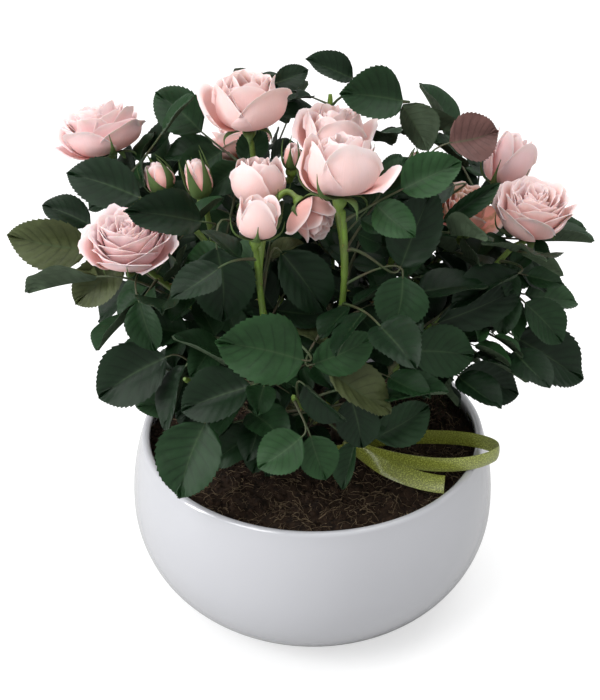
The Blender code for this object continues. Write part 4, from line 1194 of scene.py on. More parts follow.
def petal_finish(name, pale, deep, rim_highlight, stain=None):
    """A petal: deep at its foot, partly its own colour and partly painted shade, pale toward its rim, with a
    painted highlight on the rims and faint streaks along it.
    """
    material, tree = finish(
        name,
        pale,
        Roughness=0.62,
        Subsurface_Weight=0.22,
        Subsurface_Radius=(0.006, 0.003, 0.002),
        Subsurface_Scale=0.4,
        Sheen_Weight=0.18,
        Sheen_Roughness=0.4,
        Specular_IOR_Level=0.3,
    )
    between = [(a + b) / 2 for a, b in zip(pale, deep)]
    # The ramp's deep end, at the petal's foot and in the heart, is partly the petal's own colour and partly
    # painted shade.
    body = ramp(tree, value_of(tree, "flush"), ((0.05, pale), (0.45, between), (0.95, deep)))
    shade, height = mottled(tree, body, dimmed(pale, 0.93), 70, 0.35, 1800)
    lines = {"W": value_of(tree, "streak"), "Scale": 3.4, "Detail": 2.0}
    streaks = add(tree, "ShaderNodeTexNoise", lines, noise_dimensions="1D").outputs["Fac"]
    lined = mix(tree, 1.0, shade, spread(tree, streaks, 0.3, 0.7, 0.965), "MULTIPLY")
    # The rims and side edges are lightened toward the rim colour: a painted highlight.
    shade = mix(tree, value_of(tree, "rim"), lined, rim_highlight)
    if stain:
        spots = speckle(tree, own_place(tree), 160.0, 4.0)
        shade = mix(tree, spread(tree, spots, 0.48, 0.62, 0.0, 0.8), shade, stain)
    folds = maths(tree, "MULTIPLY", speckle(tree, own_place(tree), 150.0, 2.0, Distortion=0.8), 6.0)
    fine = maths(tree, "ADD", streaks, height)
    return skin(material, shade, maths(tree, "ADD", fine, folds), 0.12, 0.0004)


def satin_finish(colour, bright):
    """Satin ribbon: lit threads that run across it, speckled where they catch the light."""
    material, tree = finish(
        "satin", colour, Roughness=0.28, Anisotropic=0.6, Sheen_Weight=0.25, Specular_IOR_Level=0.8
    )
    where = add(tree, "ShaderNodeUVMap", uv_map="weave").outputs["UV"]
    threads = {"Vector": where, "Scale": 60.0, "Distortion": 0.6}
    ribs = add(tree, "ShaderNodeTexWave", threads, bands_direction="X").outputs["Fac"]
    flecks = speckle(tree, where, 130.0, 3.0)
    lit = mix(tree, spread(tree, flecks, 0.45, 0.68, 0.0, 0.75), colour, bright)
    return skin(material, lit, maths(tree, "ADD", ribs, flecks), 0.35, 0.0002)


# --- settings ---------------------------------------------------------------


def length(name, description, default):
    return FloatProperty(name=name, description=description, default=default, unit="LENGTH", precision=5)


def colour(name, description, default):
    return FloatVectorProperty(
        name=name, description=description, default=default, subtype="COLOR", size=3, min=0, max=1
    )


def count(name, description, default, low=1):
    return IntProperty(name=name, description=description, default=default, min=low)


class BowlSettings(bpy.types.PropertyGroup):
    sides: count("Sides", "Facets round the bowl", 144, 12)
    # The glaze's grey is darker than white glaze: the white glaze with painted shade over the whole bowl.
    glaze: colour("Glaze", "Colour of the glaze", (0.50, 0.505, 0.535))


class PeatSettings(bpy.types.PropertyGroup):
    roughness: length("Roughness", "Height of the lumps in the peat", 0.0026)
    earth: colour("Earth", "Colour of the damp peat", (0.017, 0.011, 0.008))
    crumb: colour("Crumb", "Colour of the dry crumbs", (0.060, 0.036, 0.022))
    root: colour("Rootlets", "Colour of the fine dead roots", (0.31, 0.23, 0.14))
    moss: colour("Moss", "Colour of the moss in the clump", (0.035, 0.045, 0.018))
    rootlets: count("Rootlets", "Fine roots for each square decimetre", 620)
    crumbs: count("Crumbs", "Crumbs for each square decimetre", 900)
    seed: count("Seed", "Seed of the scatter", 11, 0)


class RibbonSettings(bpy.types.PropertyGroup):
    width: length("Width", "Width of the ribbon", 0.0095)
    thickness: length("Thickness", "Thickness of the ribbon", 0.0004)
    satin: colour("Satin", "Colour of the satin in shade", (0.165, 0.190, 0.010))
    bright: colour("Lit satin", "Colour of the threads that catch the light", (0.62, 0.70, 0.14))


class LimbSettings(bpy.types.PropertyGroup):
    bark: colour("Bark", "Colour of the woody stocks", (0.085, 0.058, 0.034))
    cane: colour("Cane", "Colour of the green canes", (0.115, 0.155, 0.040))
    stalk: colour("Stalk", "Colour of young stems and flower stalks", (0.160, 0.280, 0.034))
    leaf_stalk: colour("Leaf stalk", "Colour of the stalks of the leaves", (0.050, 0.085, 0.028))
    relief: length("Relief", "Depth of the cracks in the bark", 0.0007)
    prickle: length("Prickle", "Length of a prickle", 0.0034)


class LeafSettings(bpy.types.PropertyGroup):
    shapes: count("Shapes", "Different blades that are dealt out", 14)
    thickness: FloatProperty(name="Thickness", description="Thickness over length", default=0.007)
    tooth: FloatProperty(name="Tooth", description="Depth of a tooth over the blade's width", default=0.032)
    fine: count("Fine leaves", "Small leaves tried along each cane", 12, 0)
    # deep and bright: darker and lighter copies of the leaf green, partly painted shade and painted light
    deep: colour("Deep", "Colour of the dark leaves", (0.0065, 0.0215, 0.0075))
    mid: colour("Mid", "Colour of the ordinary leaves", (0.0125, 0.0400, 0.0130))
    bright: colour("Bright", "Colour of the leaves in full light", (0.0190, 0.0600, 0.0180))
    olive: colour("Olive", "Colour of the tired leaves", (0.072, 0.090, 0.034))
    mauve: colour("Mauve", "Colour of the youngest leaves", (0.135, 0.066, 0.058))
    vein: colour("Vein", "Colour of the veins", (0.060, 0.105, 0.045))
    under: colour("Under", "Colour of the underside", (0.065, 0.095, 0.055))


class BloomSettings(bpy.types.PropertyGroup):
    thickness: length("Thickness", "Thickness of a petal", 0.0003)
    pale: colour("Pale", "Colour of the warm blooms in the light", (0.88, 0.635, 0.615))
    cool: colour("Cool", "Colour of the cool blooms in the light", (0.89, 0.665, 0.685))
    # deep: partly the petals' own colour at their foot, partly painted shade in the hollows of the blooms
    deep: colour("Deep", "Colour at the foot of the petals", (0.82, 0.290, 0.240))
    # rim: a painted highlight along the petal rims
    rim: colour("Rim", "Colour of the rims", (0.92, 0.770, 0.760))
    faded: colour("Faded", "Colour of the bloom that goes over", (0.62, 0.345, 0.260))
    stain: colour("Stain", "Colour of the spots on the faded bloom", (0.30, 0.185, 0.075))
    sepal: colour("Sepal", "Colour of the sepals", (0.085, 0.140, 0.042))


class StageSettings(bpy.types.PropertyGroup):
    elevation: FloatProperty(
        name="Elevation",
        description="Camera's height above the level",
        default=math.radians(31.6),
        subtype="ANGLE",
    )
    distance: length("Distance", "From the camera to what it looks at", 0.650)
    aim: FloatVectorProperty(
        name="Aim",
        description="Point that the camera looks at",
        default=(-0.0069, 0, 0.146),
        subtype="TRANSLATION",
    )
    lens: FloatProperty(name="Lens", description="Focal length in millimetres", default=63.26)
    floor: colour("Floor", "Colour of the floor", (0.50, 0.50, 0.50))
    sky: colour("Sky", "Colour of the light all round", (1.0, 1.0, 1.0))


class BushSettings(bpy.types.PropertyGroup):
    bowl: PointerProperty(type=BowlSettings)
    peat: PointerProperty(type=PeatSettings)
    ribbon: PointerProperty(type=RibbonSettings)
    limbs: PointerProperty(type=LimbSettings)
    leaves: PointerProperty(type=LeafSettings)
    blooms: PointerProperty(type=BloomSettings)
    stage: PointerProperty(type=StageSettings)


def settings():
    return bpy.context.scene.rose_bush


PLANTS = []


def plant():
    """The bush's plan, worked out when it is first asked for."""
    if not PLANTS:
        PLANTS.append(Plant(settings().leaves.fine))
    return PLANTS[0]


# --- bowl and peat ----------------------------------------------------------


def bowl_radius(z):
    """Outer radius of the bowl at a height."""
    if z <= BOWL_WAIST_Z:
        drop = (BOWL_WAIST_Z - z) / BOWL_WAIST_Z
        swell = math.sqrt(max(0.0, 1 - drop**2))
        return BOWL_FOOT_RADIUS + (BOWL_RADIUS - BOWL_FOOT_RADIUS) * swell
    edge = math.acos(BOWL_RIM_RADIUS / BOWL_RADIUS)
    rise = (z - BOWL_WAIST_Z) / (BOWL_HEIGHT - BOWL_WAIST_Z) * math.sin(edge)
    return BOWL_RADIUS * math.sqrt(1 - rise**2)


def bowl_profile():
    """(radius, height) from the middle of the floor up the inside, over the lip and down the outside."""
    inner_top = BOWL_HEIGHT - BOWL_WALL / 2
    inside = [(r, BOWL_FLOOR) for r in (0, 16, 32, BOWL_FOOT_RADIUS - BOWL_WALL - 3)]
    for k in range(21):
        z = BOWL_FLOOR + 1.5 + (inner_top - BOWL_FLOOR - 1.5) * (k / 20) ** 1.3
        inside.append((bowl_radius(z) - BOWL_WALL, z))
    lip = []
    for k in range(1, 12):
        turn = math.pi * k / 12
        reach = bowl_radius(inner_top) - BOWL_WALL / 2
        lip.append((reach - math.cos(turn) * BOWL_WALL / 2, inner_top + math.sin(turn) * BOWL_WALL / 2))
    outside = []
    for k in range(40):
        z = inner_top * (1 - (k / 39) ** 0.8) if k < 39 else 0
        outside.append((bowl_radius(z), z))
    foot = [(BOWL_FOOT_RADIUS - 1.5, 0), (BOWL_FOOT_RADIUS - 5, 0), (30, 0), (0, 0)]
    return inside + lip + outside + foot


def soil_height(x, y):
    """The peat's surface: level about the stocks, rough outside, with a clump at the back right."""
    reach = math.hypot(x, y)
    rough = min(1, max(0, (reach - STOCK_PATCH) / 18))
    waves = math.sin(x * 0.19 + 1.3) * math.cos(y * 0.23 - 0.4) + 0.6 * math.sin(x * 0.07 - y * 0.11)
    clump = 13 * math.exp(-((x - 66) ** 2 + (y - 44) ** 2) / 260)
    return SOIL_Z + rough * (1.4 * waves - 3.0 * (reach / 88) ** 2) + clump


class ROSEBUSH_OT_bowl(bpy.types.Operator):
    """Turns the glazed bowl"""

    bl_idname = "rose_bush.bowl"
    bl_label = "Bowl"

    def execute(self, context):
        own = settings().bowl
        profile = bowl_profile()
        sides = own.sides
        turns = np.linspace(0, 2 * math.pi, sides, endpoint=False)
        points = []
        for r, z in profile[1:-1]:
            points += [(r * math.cos(t), r * math.sin(t), z) for t in turns]
        rings = len(profile) - 2
        floor_pole, foot_pole = len(points), len(points) + 1
        points += [(0, 0, profile[0][1]), (0, 0, 0)]
        body = grid_faces(rings, sides, wrap=True)[:, ::-1]
        last = (rings - 1) * sides
        caps = np.concatenate(
            [fan(np.arange(sides), floor_pole), fan(np.arange(last, last + sides)[::-1], foot_pole)]
        )
        heap = Heap()
        heap.add(points, [body, caps])
        mesh = heap.mesh("bowl_glazed", [glaze_finish(own.glaze)])
        mesh.set_sharp_from_angle(angle=math.radians(50))
        put("bowl_glazed", mesh, "glaze", "bowl")
        return {"FINISHED"}


class ROSEBUSH_OT_peat(bpy.types.Operator):
    """Heaps the peat with lumps and hollows, level where the stocks stand"""

    bl_idname = "rose_bush.peat"
    bl_label = "Peat"

    RINGS = 64
    SIDES = 168
    EDGE_Z = 86  # height at which the peat meets the wall
    BASE_Z = 70.0  # height of its underside
    GAP = 0.3  # left between it and the wall
    CLEAR = 7.0  # no rootlet starts nearer the wall, so that none comes through it

    def execute(self, context):
        own = settings().peat
        lump = own.roughness / MM
        points, where = [], []
        edge = bowl_radius(self.EDGE_Z) - BOWL_WALL - self.GAP
        for i in range(self.RINGS + 1):
            r = edge * (1 - (i / (self.RINGS + 1)) ** 1.15)
            for k in range(self.SIDES):
                turn = 2 * math.pi * k / self.SIDES
                x, y = r * math.cos(turn), r * math.sin(turn)
                z = soil_height(x, y) + self.lumps(x, y, lump)
                inside = min(r, bowl_radius(min(z, BOWL_HEIGHT)) - BOWL_WALL - self.GAP)
                points.append((inside * math.cos(turn), inside * math.sin(turn), z))
                where.append(1.0)
        low = [(p[0] * 0.985, p[1] * 0.985, self.BASE_Z) for p in points[: self.SIDES]]
        points = low + points
        where = [0.0] * self.SIDES + where
        rings = self.RINGS + 2
        body = grid_faces(rings, self.SIDES, wrap=True)
        top, bottom = len(points), len(points) + 1
        points += [(0, 0, soil_height(0, 0)), (0, 0, self.BASE_Z)]
        where += [1.0, 0.0]
        last = (rings - 1) * self.SIDES
        caps = np.concatenate(
            [fan(np.arange(last, last + self.SIDES), top), fan(np.arange(self.SIDES)[::-1], bottom)]
        )
        clump = [w * math.exp(-((p[0] - 66) ** 2 + (p[1] - 44) ** 2) / 300) for p, w in zip(points, where)]
        clear = [w if math.hypot(p[0], p[1]) < edge - self.CLEAR else 0.0 for p, w in zip(points, where)]
        heap = Heap()
        heap.add(points, [body, caps], litter=where, clear=clear, clump=clump)
        material = peat_finish("peat", own.earth, own.crumb, 240)
        put("peat_heap", heap.mesh("peat_heap", [material]), "peat", "peat")
        return {"FINISHED"}

    def lumps(self, x, y, lump):
        reach = math.hypot(x, y)
        fade = 0.35 + 0.65 * min(1, max(0, (reach - 20) / 20))
        place = Vector((x, y, 0))
        coarse = noise.noise(place * 0.16) + 0.6 * noise.noise(place * 0.36)
        fine = 0.42 * noise.noise(place * 0.85) + 0.25 * noise.noise(place * 1.9)
        return lump * fade * (coarse + fine) * 0.9 - lump * 0.35


def litter_nodes(tree, given):
    """Scatters shapes over a surface, turned and tilted at random, where a value says."""
    tilt, seed = given["Tilt"], given["Seed"]
    density = maths(tree, "MULTIPLY", named(tree, given["Where"], "FLOAT"), given["Density"])
    points = add(
        tree,
        "GeometryNodeDistributePointsOnFaces",
        {"Mesh": given["Geometry"], "Density": density, "Seed": seed},
        distribute_method="RANDOM",
    ).outputs
    back = maths(tree, "MULTIPLY", tilt, -1.0)
    low = add(tree, "ShaderNodeCombineXYZ", {0: back, 1: back, 2: -math.pi}).outputs[0]
    high = add(tree, "ShaderNodeCombineXYZ", {0: tilt, 1: tilt, 2: math.pi}).outputs[0]
    turn = add(tree, "FunctionNodeRandomValue", {0: low, 1: high, "Seed": seed}, data_type="FLOAT_VECTOR")
    turns = {0: points["Rotation"], 1: turn.outputs[0]}
    spun = add(tree, "FunctionNodeRotateRotation", turns, rotation_space="LOCAL")
    sizes = {2: given["Smallest"], 3: given["Largest"], "Seed": seed}
    size = add(tree, "FunctionNodeRandomValue", sizes, data_type="FLOAT")
    where = {"Points": points["Points"], "Rotation": spun.outputs[0], "Scale": size.outputs[1]}
    return {"Geometry": dressed(tree, stood(tree, given["Shapes"], where), given["Finish"])}


def litter_tree():
    inputs = {
        "Geometry": ["Geometry"],
        "Shapes": ["Collection"],
        "Where": ["String", "litter"],
        "Density": ["Float", 1000.0],
        "Tilt": ["Float", 0.4],
        "Smallest": ["Float", 0.6],
        "Largest": ["Float", 1.3],
        "Seed": ["Int", 0],
        "Finish": ["Material"],
    }
    return node_group("Scatter Litter", "Geometry", inputs, {"Geometry": "Geometry"}, litter_nodes)


def shape_collection(name, shapes):
    """A hidden collection of small meshes, from (points in metres, faces) pairs."""
    group = bpy.data.collections.new(name)
    for k, (points, faces) in enumerate(shapes):
        mesh = bpy.data.meshes.new(f"{name}_{k:02}")
        mesh.from_pydata([tuple(p) for p in points], [], [tuple(int(c) for c in f) for f in faces])
        mesh.shade_smooth()
        group.objects.link(bpy.data.objects.new(mesh.name, mesh))
    return group


def rootlet(chance):
    """A curled dead root: a three-sided thread lying on the peat."""
    span = chance.uniform(4, 14)
    bend, rise, wiggle = chance.uniform(-1.6, 1.6), chance.uniform(0.2, 1.6), chance.uniform(0.3, 1.2)
    path, heading = [Vector((-span / 2, 0, 0.1))], -bend / 2
    for i in range(7):
        heading += bend / 7 + wiggle * math.sin(i * 1.9 + span)
        step = Vector((math.cos(heading), math.sin(heading), 0)) * (span / 7)
        path.append(path[-1] + step)
    path = [p + UP * (rise * math.sin(math.pi * i / 7)) for i, p in enumerate(path)]
    thick = chance.uniform(0.12, 0.34)
    points, faces, _ = tube(path, [thick * (1 - 0.09 * i) for i in range(8)], 3, UP)
    return [p * MM for p in points], [f for block in faces for f in block]


def crumb(chance):
    """A lump of peat of twenty faces, squashed and dented."""
    ball = bmesh.new()
    bmesh.ops.create_icosphere(ball, subdivisions=1, radius=1.0)
    size = chance.uniform(0.5, 1.8)
    points = [v.co * size * chance.uniform(0.7, 1.25) for v in ball.verts]
    faces = [[v.index for v in f.verts] for f in ball.faces]
    ball.free()
    return [Vector((p.x, p.y * 0.8, p.z * 0.6)) * MM for p in points], faces


def moss_tuft(chance):
    """A few narrow blades of moss that lean apart."""
    points, faces = [], []
    for _ in range(6):
        turn, lean = chance.uniform(0, 6.3), chance.uniform(0.3, 1.3)
        out = Vector((math.cos(turn) * lean, math.sin(turn) * lean, 1)).normalized()
        side = out.cross(UP).normalized() * 0.22
        long = chance.uniform(1.4, 3.4)
        k = len(points)
        points += [side, -side, out * long * 0.6 - side * 0.8, out * long * 0.6 + side * 0.8, out * long]
        faces += [(k, k + 1, k + 2, k + 3), (k + 3, k + 2, k + 4)]
    return [p * MM for p in points], faces


class ROSEBUSH_OT_litter(bpy.types.Operator):
    """Scatters rootlets, crumbs and moss over the peat"""

    bl_idname = "rose_bush.litter"
    bl_label = "Litter"

    MOSS = 5200  # blades tried for each square decimetre of the clump
    KINDS = 9  # shapes of each kind

    def execute(self, context):
        own = settings().peat
        heap = bpy.data.objects["peat_heap"].data
        root = peat_finish("rootlet", own.root, own.crumb, 300)
        dry = peat_finish("crumb", own.crumb, own.earth, 500)
        moss = peat_finish("moss", own.moss, own.earth, 400)
        kinds = (
            ("rootlets", rootlet, "clear", own.rootlets, 0.35, root),
            ("crumbs", crumb, "litter", own.crumbs, 1.0, dry),
            ("moss", moss_tuft, "clump", self.MOSS, 0.5, moss),
        )
        for k, (name, make, where, density, tilt, material) in enumerate(kinds):
            chance = random.Random(f"{SEED} {name}")
            shapes = shape_collection(name, [make(chance) for _ in range(self.KINDS)])
            mesh = evaluated(
                "peat_" + name,
                heap.copy(),
                litter_tree(),
                Shapes=shapes,
                Where=where,
                Density=density * 100.0,
                Tilt=tilt,
                Smallest=0.6,
                Largest=1.3,
                Seed=own.seed + k,
                Finish=material,
            )
            put("peat_" + name, mesh, "peat")
        return {"FINISHED"}


# --- ribbon -----------------------------------------------------------------

RIBBON_KNOT = Vector((21, -18, 96.5))


def strip(path, lean, wide, thick, cup=0.6):
    """A ribbon whose width stands along lean at each point, a little cupped across."""
    grid, where = [], []
    run = 0.0
    for i, point in enumerate(path):
        axis = (path[min(i + 1, len(path) - 1)] - path[max(i - 1, 0)]).normalized()
        run += (path[i] - path[max(i - 1, 0)]).length
        tall = across(axis, lean[i])
        flat = axis.cross(tall)
        for k in range(7):
            u = -1 + k / 3
            grid.append(point + tall * (u * wide / 2) + flat * (cup * (1 - u * u)))
            where.append((run / 100, u * wide / 200))
    grid = np.array(grid).reshape(len(path), 7, 3)
    points, faces = thin_sheet(grid, thick)
    return points, faces, where * 2


def ribbon_strips(wide, thick):
    """The band round the stocks, the loop over the rim and the tail down to the lip."""
    band = []
    for k in range(70):
        turn = math.radians(-40 + 345 * k / 69)
        lift = 95.0 + 1.2 * math.sin(3 * turn)
        band.append(Vector((2 + 24.5 * math.cos(turn), 1 + 24.5 * math.sin(turn), lift)))
    yield strip(band, [UP] * len(band), wide * 0.8, thick, 0.3)
    turn_back = Vector((95, -36, 104))
    home = RIBBON_KNOT + Vector((3, 2, 1))
    out = curve(RIBBON_KNOT, Vector((44, -40, 101)), Vector((76, -52, 104)), turn_back, 40)
    back = curve(turn_back, Vector((104, -28, 104)), Vector((80, -12, 104)), home, 40)
    loop = out + back[1:]
    yield strip(loop, [UP + FRONT * 0.1] * len(loop), wide, thick)
    tail = curve(RIBBON_KNOT, Vector((34, -34, 96)), Vector((50, -44, 92.5)), Vector((68, -47, 93)), 40)
    lean = [UP.lerp(Vector((-0.35, 0.75, 0.55)), min(1, k / 40 * 2.5)) for k in range(41)]
    yield strip(tail, lean, wide, thick)


class ROSEBUSH_OT_ribbon(bpy.types.Operator):
    """Ties the satin ribbon: a band, a pleated knot, a loop and a tail"""

    bl_idname = "rose_bush.ribbon"
    bl_label = "Ribbon"

    def execute(self, context):
        own = settings().ribbon
        heap, where = Heap(), []
        for points, faces, place in ribbon_strips(own.width / MM, own.thickness / MM):
            heap.add(points, faces)
            where += place
        side = Vector((1, -1, 0)).normalized()
        path = [RIBBON_KNOT + side * (-4.2 + 7.6 * k / 14) for k in range(15)]
        radii = [2.4 + 2.3 * math.sin(math.pi * (0.12 + 0.80 * k / 14)) for k in range(15)]
        points, faces, along = tube(path, radii, 28, UP)
        pleated = []
        for k, point in enumerate(points):
            place = nearest(path, along[k])
            pleats = 1 + 0.07 * math.sin(k % 28 * math.pi / 2 + along[k] * 3)
            pleated.append(place + (point - place) * pleats)
        heap.add(pleated, faces)
        where += [(a * 0.08, k % 28 / 300) for k, a in enumerate(along)]
        mesh = heap.mesh("ribbon_satin", [satin_finish(own.satin, own.bright)])
        layer = mesh.uv_layers.new(name="weave")
        corners = np.zeros(len(mesh.loops), int)
        mesh.loops.foreach_get("vertex_index", corners)
        layer.data.foreach_set("uv", np.array(where)[corners].ravel())
        put("ribbon_satin", mesh, "satin", "ribbon")
        return {"FINISHED"}


# --- limbs ------------------------------------------------------------------


class ROSEBUSH_OT_stocks(bpy.types.Operator):
    """Grows the woody stocks with their cracked bark and the stubs that the canes rise from"""

    bl_idname = "rose_bush.stocks"
    bl_label = "Stocks"

    def execute(self, context):
        own = settings().limbs
        heap = Heap()
        for name, (x, y, height) in STOCKS.items():
            foot = Vector((x, y, SOIL_Z - 2))
            head = Vector((x, y, SOIL_Z + height))
            path = [foot.lerp(head + UP * 1.6, k / 22) for k in range(23)]
            radii = [4.2 + 1.5 * math.exp(-k * 0.55) + 0.35 * math.sin(k * 0.9 + x) for k in range(23)]
            radii[-1] = 2.6
            self.limb(heap, path, radii, 22, own)
            for cane, (_, start) in plant().forks.items():
                if CANES[cane][0] == name:
                    stub = start - head
                    path = [head - stub * 0.1 + stub * (1.12 * k / 14) for k in range(15)]
                    self.limb(heap, path, [3.5 - 0.75 * k / 14 for k in range(15)], 16, own)
        material = bark_finish("bark", own.bark, dimmed(own.bark, 0.45), 0.85, 0.35)
        names = ["stock_" + name for name in STOCKS]
        put("stocks_bark", heap.mesh("stocks_bark", [material]), "bark", *names)
        return {"FINISHED"}

    def limb(self, heap, path, radii, sides, own):
        """A tube whose skin is pushed in and out into cracks that run along it."""
        points, faces, along = tube(path, radii, sides)
        moved = []
        for point, share in zip(points, along):
            out = point - nearest(path, share)
            drawn = Vector((point.x, point.y, point.z * 0.25)) * 0.62
            push = noise.noise(drawn) + 0.6 * noise.noise(drawn * 2.6)
            if out.length > 0.1:
                point = point + out.normalized() * (push * own.relief / MM * 1.6)
            moved.append(point)
        heap.add(moved, faces)


class ROSEBUSH_OT_canes(bpy.types.Operator):
    """Grows the bare lower part of each cane, ridged and swollen at its nodes"""

    bl_idname = "rose_bush.canes"
    bl_label = "Canes"

    def execute(self, context):
        own = settings().limbs
        heap = Heap()
        for cane in plant().canes.values():
            count = 30
            path = cane.run(-0.01, cane.bare + 0.012, count)
            radii = []
            for k in range(count + 1):
                t = cane.bare * k / count
                radii.append(cane.radius(t) * 1.02 + 0.35 * cane.swelling(t))
            points, faces, along = tube(path, radii, 14)
            moved = []
            for k, point in enumerate(points):
                place = nearest(path, along[k])
                drawn = Vector((point.x, point.y, point.z * 0.2)) * 0.9
                moved.append(place + (point - place) * (1 + 0.10 * noise.noise(drawn)))
            heap.add(moved, faces)
        material = bark_finish("cane_skin", own.cane, own.bark, 0.5, 0.72)
        names = ["cane_" + name for name in CANES]
        put("canes_skin", heap.mesh("canes_skin", [material]), "green_bark", *names)
        return {"FINISHED"}


def hip_rings(flower):
    """(distance along the axis from the flower's base, radius) down the swollen hip under a flower."""
    long, wide = flower.hip_length, flower.hip_radius
    radii = (1.35, wide * 0.62, wide * 0.92, wide, wide * 0.92, wide * 0.7)
    return [(long * at, radius) for at, radius in zip((-1.0, -0.8, -0.6, -0.4, -0.2, 0), radii)]


class ROSEBUSH_OT_stems(bpy.types.Operator):
    """Grows on from the canes: stems, flower stalks, hips and the stalks of the leaves"""

    bl_idname = "rose_bush.stems"
    bl_label = "Stems and stalks"

    def execute(self, context):
        own = settings().limbs
        stalk = bark_finish("stalk_skin", own.stalk, own.cane, 0.42, 0.88)
        heap = Heap()
        for name, cane in plant().canes.items():
            flower = next((f for f in plant().flowers if f.cane == name and f.at == 1), None)
            self.stem(heap, cane, flower)
        for flower in plant().flowers:
            if flower.at < 1:
                path = flower.stalk(plant().canes[flower.cane], 16)
                rings = hip_rings(flower)
                path = path[:-1] + [flower.base + flower.axis * at for at, _ in rings]
                radii = [1.75 - 0.35 * k / 16 for k in range(16)] + [r for _, r in rings]
                heap.add(*tube(path, radii, 12)[:2])
        put("stems", heap.mesh("stems", [stalk]), "green_bark", *MASSES)
        heap = Heap()
        for _, leaf in plant().leaves:
            self.leaf_stalk(heap, leaf)
        leaf_stalk = bark_finish("leaf_stalk", own.leaf_stalk, own.bark, 0.55, 0.85)
        put("leaf_stalks", heap.mesh("leaf_stalks", [leaf_stalk]), "foliage", *MASSES)
        return {"FINISHED"}

    def stem(self, heap, cane, flower):
        count = 34
        path = cane.run(cane.bare, 1.0, count)
        radii = []
        for k in range(count + 1):
            t = cane.bare + (1 - cane.bare) * k / count
            slim = 1.02 - 0.20 * smooth(t, cane.bare, cane.bare + 0.3)
            radii.append(cane.radius(t) * slim + 0.18 * cane.swelling(t))
        if flower:
            rings = hip_rings(flower)
            keep = [k for k, p in enumerate(path) if (p - flower.base).length > flower.hip_length * 1.25]
            path, radii = [path[k] for k in keep], [radii[k] for k in keep]
            path += [flower.base + flower.axis * at for at, _ in rings]
            radii += [max(r, 1.35) for _, r in rings]
        else:
            radii[-1] = 0.9
        heap.add(*tube(path, radii, 12)[:2])

    def leaf_stalk(self, heap, leaf):
        thin = min(1.0, leaf.length / 30)
        steps = 10
        path = [leaf.at(k / steps) for k in range(steps + 1)]
        path.append(leaf.base + leaf.along * 1.2)
        radii = [(0.80 - 0.32 * k / steps + 0.5 * math.exp(-k * 1.3)) * thin for k in range(steps + 1)]
        heap.add(*tube(path, radii + [0.38 * thin], 6, leaf.face)[:2])


class ROSEBUSH_OT_prickles(bpy.types.Operator):
    """Sets hooked prickles along the canes and stems"""

    bl_idname = "rose_bush.prickles"
    bl_label = "Prickles"

    def execute(self, context):
        own = settings().limbs
        shapes = shape_collection("prickle", [self.prickle(bend) for bend in (0.15, 0.3, 0.45)])
        rows = []
        for name, cane in plant().canes.items():
            chance = random.Random(f"{SEED} prickles {name}")
            at = 0.10
            while at < 0.86:
                axis = cane.ahead(at)
                out = Quaternion(axis, chance.uniform(0, 6.3)) @ across(axis, FRONT)
                place = cane.at(at) + out * (cane.radius(at) * 0.85)
                size = own.prickle / MM * chance.uniform(0.6, 1.15) * (1.1 - 0.5 * at)
                rows.append((place, facing(out, -axis), (size, size, size), chance.randrange(3)))
                at += chance.uniform(0.05, 0.12)
        skin = bark_finish("prickle_skin", (0.30, 0.13, 0.075), own.stalk, 0.45, 0.9)
        put("prickles", deal("prickles", rows, shapes, skin, skin), "green_bark")
        return {"FINISHED"}

    def prickle(self, bend):
        """A flattened hook one unit long that bends toward +Z."""
        points, faces = [], []
        for i in range(5):
            v = i / 5
            for k in range(6):
                turn = math.pi * k / 3
                wide = (1 - v) ** 1.3
                lift = bend * v**2
                points.append((0.16 * wide * math.cos(turn), v, lift + 0.34 * wide * math.sin(turn)))
        faces += grid_faces(5, 6, wrap=True)[:, ::-1].tolist()
        points.append((0, 1, bend))
        faces += fan(np.arange(24, 30)[::-1], 30).tolist()
        faces.append(tuple(range(6)))
        return points, faces


# --- leaves -----------------------------------------------------------------


class ROSEBUSH_OT_leaves(bpy.types.Operator):
    """Deals the blades out to every leaf, one piece for each tone and no piece too heavy"""

    bl_idname = "rose_bush.leaves"
    bl_label = "Leaves"

    PIECE = 400  # blades in one piece

    def execute(self, context):
        own = settings().leaves
        shapes = leaflet_collection("blade", own.shapes, own.tooth, own.thickness, SEED)
        under = leaf_finish("leaf_under", own.under, own.vein, 0.65, 0.15)
        dealt = {tone: [] for tone in TONES}
        chance = random.Random(f"{SEED} blades")
        for _, leaf in plant().leaves:
            for base, tip, face, width in leaf.kept_blades():
                run = tip - base
                along = run.normalized()
                turn = facing(along, across(along, face))
                size = (width * run.length, run.length, run.length)
                dealt[leaf.tone].append((base, turn, size, chance.randrange(own.shapes)))
        for tone, rows in dealt.items():
            upper = leaf_finish("leaf_" + tone, getattr(own, tone), own.vein)
            for k in range(0, len(rows), self.PIECE):
                name = f"leaves_{tone}_{k // self.PIECE}"
                mesh = deal(name, rows[k : k + self.PIECE], shapes, upper, under)
                put(name, mesh, "foliage", *MASSES)
        return {"FINISHED"}


# --- blooms -----------------------------------------------------------------


def sepal(base, axis, side, path, wide, thick=0.5):
    """A narrow blade along a path of (radius, height) points about a flower's axis."""
    grid = []
    rows = 9
    other = axis.cross(side)
    for i in range(rows):
        v = i / (rows - 1)
        r, z = bezier(*(Vector((*p, 0)) for p in path), v)[:2]
        half = wide * 0.5 * (0.75 * (1 - v) + 0.9 * math.sin(math.pi * min(1, v + 0.12)) * (1 - v) + 0.04)
        for k in range(5):
            u = -1 + k / 2
            grid.append(base + side * (r - 0.35 * half * u * u) + axis * z + other * (u * half))
    return thin_sheet(np.array(grid).reshape(rows, 5, 3), thick)


